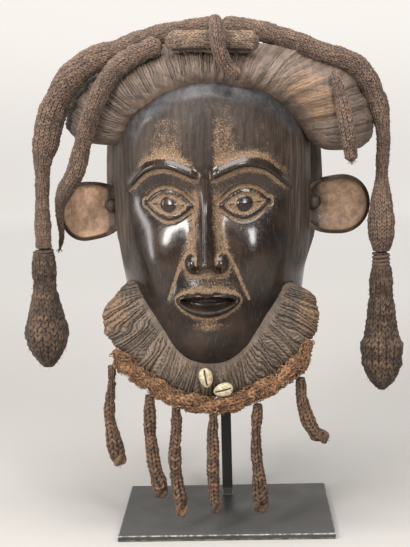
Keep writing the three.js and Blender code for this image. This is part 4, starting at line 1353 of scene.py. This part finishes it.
def cowrie(name, beta, rho, tilt, material):
    """A shell sewn on with its toothed mouth outwards."""
    middle, half = section(RUFF, beta)
    out = min(1, max(-1, (rho - middle) / half))
    front = through(RUFF["y"], beta) - (RUFF["half"] + RUFF["lock"]) * math.sqrt(1 - out * out)
    at = ruff_place(rho, beta, front - COWRIE["height"] / 2 - GAP)
    t = np.linspace(0.02, math.pi - 0.02, 64)[:, None]
    turn = ring(72)
    long = np.cos(t)
    wide = np.sin(t) * np.sin(turn)
    high = -np.sin(t) * np.cos(turn)  # towards the front
    egg = 1 + 0.12 * long
    slit = bell(wide * egg / 0.1) * smooth(0.93, 0.75, np.abs(long))
    teeth = bell(wide * egg / 0.3) * np.cos(long * 34) * smooth(0.9, 0.7, np.abs(long))
    flat = np.where(high < 0, 0.86 * (1 - 0.42 * slit + 0.045 * teeth), 0.72)
    x = long * COWRIE["length"] / 2
    y = high * flat * COWRIE["height"] * 0.55
    z = wide * egg * COWRIE["width"] / 2
    lean = math.radians(tilt)
    rows = xyz(x * math.cos(lean) - z * math.sin(lean), y, x * math.sin(lean) + z * math.cos(lean))
    obj = piece(f"{name}_shell", *closed_skin(placed(rows + at)), material)
    # How deep each point lies, for the painted shade in the mouth
    store(obj.data, {"cavity": np.clip(cavities(obj.data, 6) / 0.12, 0, 1)})
    dress(obj, "cowrie_shell", name)


# Braids, roll, collar and tassels


def braids():
    material, bulb_material = fibre_material("braid_fibre_knit"), fibre_material("bulb_fibre_knit")
    for seed, (name, spec) in enumerate(BRAIDS.items()):
        fibre = Fibre()
        even = catmull(spec["route"], 90)
        line, big = knit(fibre, even[:, :3], even[:, 3], seed + 1, tapers=(6, spec["taper"]))
        length = line_length(line)
        fuzz(fibre, line, big, count=int(length * 1.2), reach=3, seed=seed + 31)
        if spec["end"] == "bare":
            tuft(fibre, line[-1], unit(line[-1] - line[-3]), big[-1], count=26, seed=seed + 71)
        obj = fibre.piece(name, material, "braid_fibre")
        if name + "_bulb" in BULBS:
            bulb(name + "_bulb", BULBS[name + "_bulb"], bulb_material, seed)


def bulb(name, spec, material, seed):
    """The padded end of a long braid: the same knit spread over a bulb, bound at its neck."""
    fibre = Fibre()
    profile = np.array(spec["profile"], float)
    z = np.linspace(profile[0, 0], profile[-1, 0], 60)
    big = through([(-h, r) for h, r in profile], -z)
    route = xyz(float(spec["x"]), float(spec["y"]), z)
    line, big = knit(fibre, route, big, seed + 201, stitch=4.8, columns=17, relief=1.5, lumps=0.06)
    windings(fibre, route[:6], profile[0, 1] + 0.2, turns=3, strand=1.2, seed=seed)
    fuzz(fibre, line, big, count=320, reach=4, seed=seed + 231)
    tuft(fibre, line[-1] + (0, 0, 3), np.array([0.0, 0.0, -1.0]), profile[-1, 1], count=24, seed=seed + 251)
    return fibre.piece(name, material, "braid_fibre")


def roll():
    """The wrapped roll on the crown, with a thin cord along its underside painted near black as the shade
    under it.
    """
    fibre = Fibre()
    even = catmull([(*p, ROLL["radius"]) for p in ROLL["route"]], 40)
    line, big = knit(fibre, even[:, :3], even[:, 3], seed=401, relief=0.9, lumps=0.06, tapers=(7, 7))
    fuzz(fibre, line, big, count=420, reach=6, seed=431, thickness=0.22)
    # Painted shade: a thin cord along the roll's underside with depth 1, so it takes the full near-black gap
    # shade
    under = even[3:-3, :3] + (0, -0.72 * ROLL["radius"], -0.72 * ROLL["radius"])
    cord = tube(under, np.tile((0.0, 0.0, 1.0), (len(under), 1)), tall=1.1, wide=1.1)
    fibre.strand(cord, depth=1.0, tint=0.2, step=1.5)
    fibre.piece("crown_roll", fibre_material("roll_fibre"), "braid_fibre")


def collar():
    """A tangled band of looped fibre that hugs the ruff's lower edge."""
    degrees = np.linspace(COLLAR["from"], COLLAR["to"], 80)
    rho = through(RUFF["outer"], degrees) + RUFF["lock"] + COLLAR["out"]
    rho = rho - COLLAR["closer"] - COLLAR["rightEndIn"] * smooth(42, 53, degrees)
    rho = rho - COLLAR["leftEndIn"] * smooth(-42, -50, degrees)
    route = placed(ruff_place(rho, degrees, through(RUFF["y"], degrees) - COLLAR["forward"]))
    fibre = Fibre()
    radius = np.full(len(degrees), COLLAR["radius"] * COLLAR["core"])
    shape = {"tapers": (14, 28), "oval": COLLAR["oval"], "twist": 0.2}
    line, big = knit(fibre, route, radius, seed=501, stitch=4.2, relief=1.6, lumps=0.12, **shape)
    loops(fibre, line, big, count=1100, reach=3.8, seed=521, oval=COLLAR["oval"])
    fuzz(fibre, line, big * COLLAR["oval"][0], count=600, reach=4, seed=531)
    fibre.piece("fibre_collar", fibre_material("collar_loops"), "collar_fibre")


def tassels():
    material = fibre_material("tassel_knit")
    for seed, (name, route) in enumerate(TASSELS.items()):
        fibre = Fibre()
        even = catmull(route, 160)
        line, thick = even[:, :3], even[:, 3]
        length = line_length(line)
        body = np.linspace(0, length, len(line)) < length - TASSEL["knotLength"] * 0.5
        knit(fibre, line[body], thick[body], seed + 601, stitch=4.2, columns=5, relief=1.6, lumps=0.07)
        down = unit(line[-1] - line[-12])
        middle = line[-1] - down * TASSEL["knotLength"] * 0.42
        knot(fibre, middle, down, thick[~body].max(), TASSEL["knotLength"], seed + 641)
        tuft(fibre, line[-1] - down * 1.5, down, radius=3.2, count=22, seed=seed + 671)
        fuzz(fibre, line[body], thick[body], count=int(length * 1.2), reach=2.6, seed=seed + 631)
        fuzz(fibre, line[~body], thick[~body] * 0.9, count=24, reach=2.2, seed=seed + 651)
        obj = fibre.piece(name, material, "tassel_fibre")


# The stand, the room and the camera


def stand():
    material = steel_material()
    for name in ("base_plate", "stand_bar"):
        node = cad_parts[name]
        node.data.materials.clear()
        node.data.materials.append(material)


def room():
    """A wide pale floor that rises far behind the stand, beyond any other view's camera, lit partly by its
    own painted glow.
    """
    n = Nodes("glowing_pale_sweep")
    x, y, z = n.add("SeparateXYZ", {"Vector": n.place()})
    away = n.maths("POWER", n.maths("MULTIPLY_ADD", x, x, n.maths("MULTIPLY", y, y)), 0.5)
    # Painted light: the sweep glows more further back, further out and higher up, where the lamps' light
    # falls off
    glow = n.total(
        (n.ramp(y, -60, 360), 0.11),
        (n.ramp(y, 400, 1500), 0.23),
        (n.ramp(away, 600, 2600), 0.15),
        (n.ramp(y, 2600, 3600), 0.06),
        (n.ramp(z, 100, 800), 0.14),
    )
    # Painted light: the sweep's colour is darker near the stand, where the lamps fall strongest, and paler
    # further back
    pale = n.mix(n.ramp(y, 300, 900), (0.35, 0.339, 0.326), (0.46, 0.446, 0.428))
    n.finish(Base_Color=pale, Roughness=0.9, Emission_Color=(1.0, 0.965, 0.925), Emission_Strength=glow)
    floor, back, bend, wide = ROOM["floor"], ROOM["back"], ROOM["bend"], ROOM["wide"]
    line = [(ROOM["front"], floor), (back, floor)]
    turns = np.linspace(0.1, math.pi / 2, 14)
    line += [(back + bend * math.sin(t), floor + bend * (1 - math.cos(t))) for t in turns]
    line += [(back + bend, ROOM["top"])]
    points = np.array([(x, y, z) for y, z in line for x in (-wide, wide)])
    faces = np.array([(2 * k, 2 * k + 1, 2 * k + 3, 2 * k + 2) for k in range(len(line) - 1)])
    sweep = piece("sweep", points, [faces], n.material)


def area_light(name, place, size, power, colour):
    data = bpy.data.lights.new(name, "AREA")
    data.shape = "RECTANGLE"
    data.size, data.size_y = (s * MM for s in size)
    data.energy = power
    data.color = colour
    light = bpy.data.objects.new(name, data)
    scene.collection.objects.link(light)
    light.location = Vector(place) * MM
    light.rotation_euler = (Vector(LIGHTS_FACE) - Vector(place)).to_track_quat("-Z", "Y").to_euler()


def lights():
    area_light("left_softbox", (-620, -1020, 800), (300, 520), 20, (1, 0.96, 0.92))
    area_light("right_softbox", (560, -1060, 740), (260, 460), 12, (1, 0.97, 0.94))
    area_light("left_strip", (-1150, -260, 420), (220, 800), 7, (1, 0.97, 0.94))
    area_light("top_softbox", (0, -330, 1400), (1100, 900), 28, (1, 0.98, 0.96))
    world = bpy.data.worlds.new("room_light")
    world.use_nodes = True
    world.node_tree.nodes["Background"].inputs["Color"].default_value = (1.0, 0.97, 0.94, 1)
    world.node_tree.nodes["Background"].inputs["Strength"].default_value = 0.2
    scene.world = world
    scene.view_settings.view_transform = "Standard"


def camera():
    yaw, pitch, roll_angle = (math.radians(CAMERA[k]) for k in ("yaw", "pitch", "roll"))
    ahead = Vector((math.sin(yaw) * math.cos(pitch), math.cos(yaw) * math.cos(pitch), -math.sin(pitch)))
    right = ahead.cross(Vector((0, 0, 1))).normalized()
    up = right.cross(ahead)
    c, s = math.cos(roll_angle), math.sin(roll_angle)
    right, up = right * c + up * s, up * c - right * s
    data = bpy.data.cameras.new("camera")
    data.sensor_width = CAMERA["sensor"]
    data.lens = CAMERA["focal"] / CAMERA["tall"] * data.sensor_width
    data.clip_start, data.clip_end = CAMERA["nearMetres"], CAMERA["farMetres"]
    view = bpy.data.objects.new("camera", data)
    scene.collection.objects.link(view)
    turn = Matrix((right, up, -ahead)).transposed()
    view.matrix_world = Matrix.Translation(Vector(CAMERA["place"]) * MM) @ turn.to_4x4()
    scene.camera = view


camera()
lights()
room()
stand()
braids()
roll()
collar()
tassels()
carving()
shell = shell_material()
for shell_name, spot in COWRIES.items():
    cowrie(shell_name, spot["beta"], spot["rho"], spot["tilt"], shell)
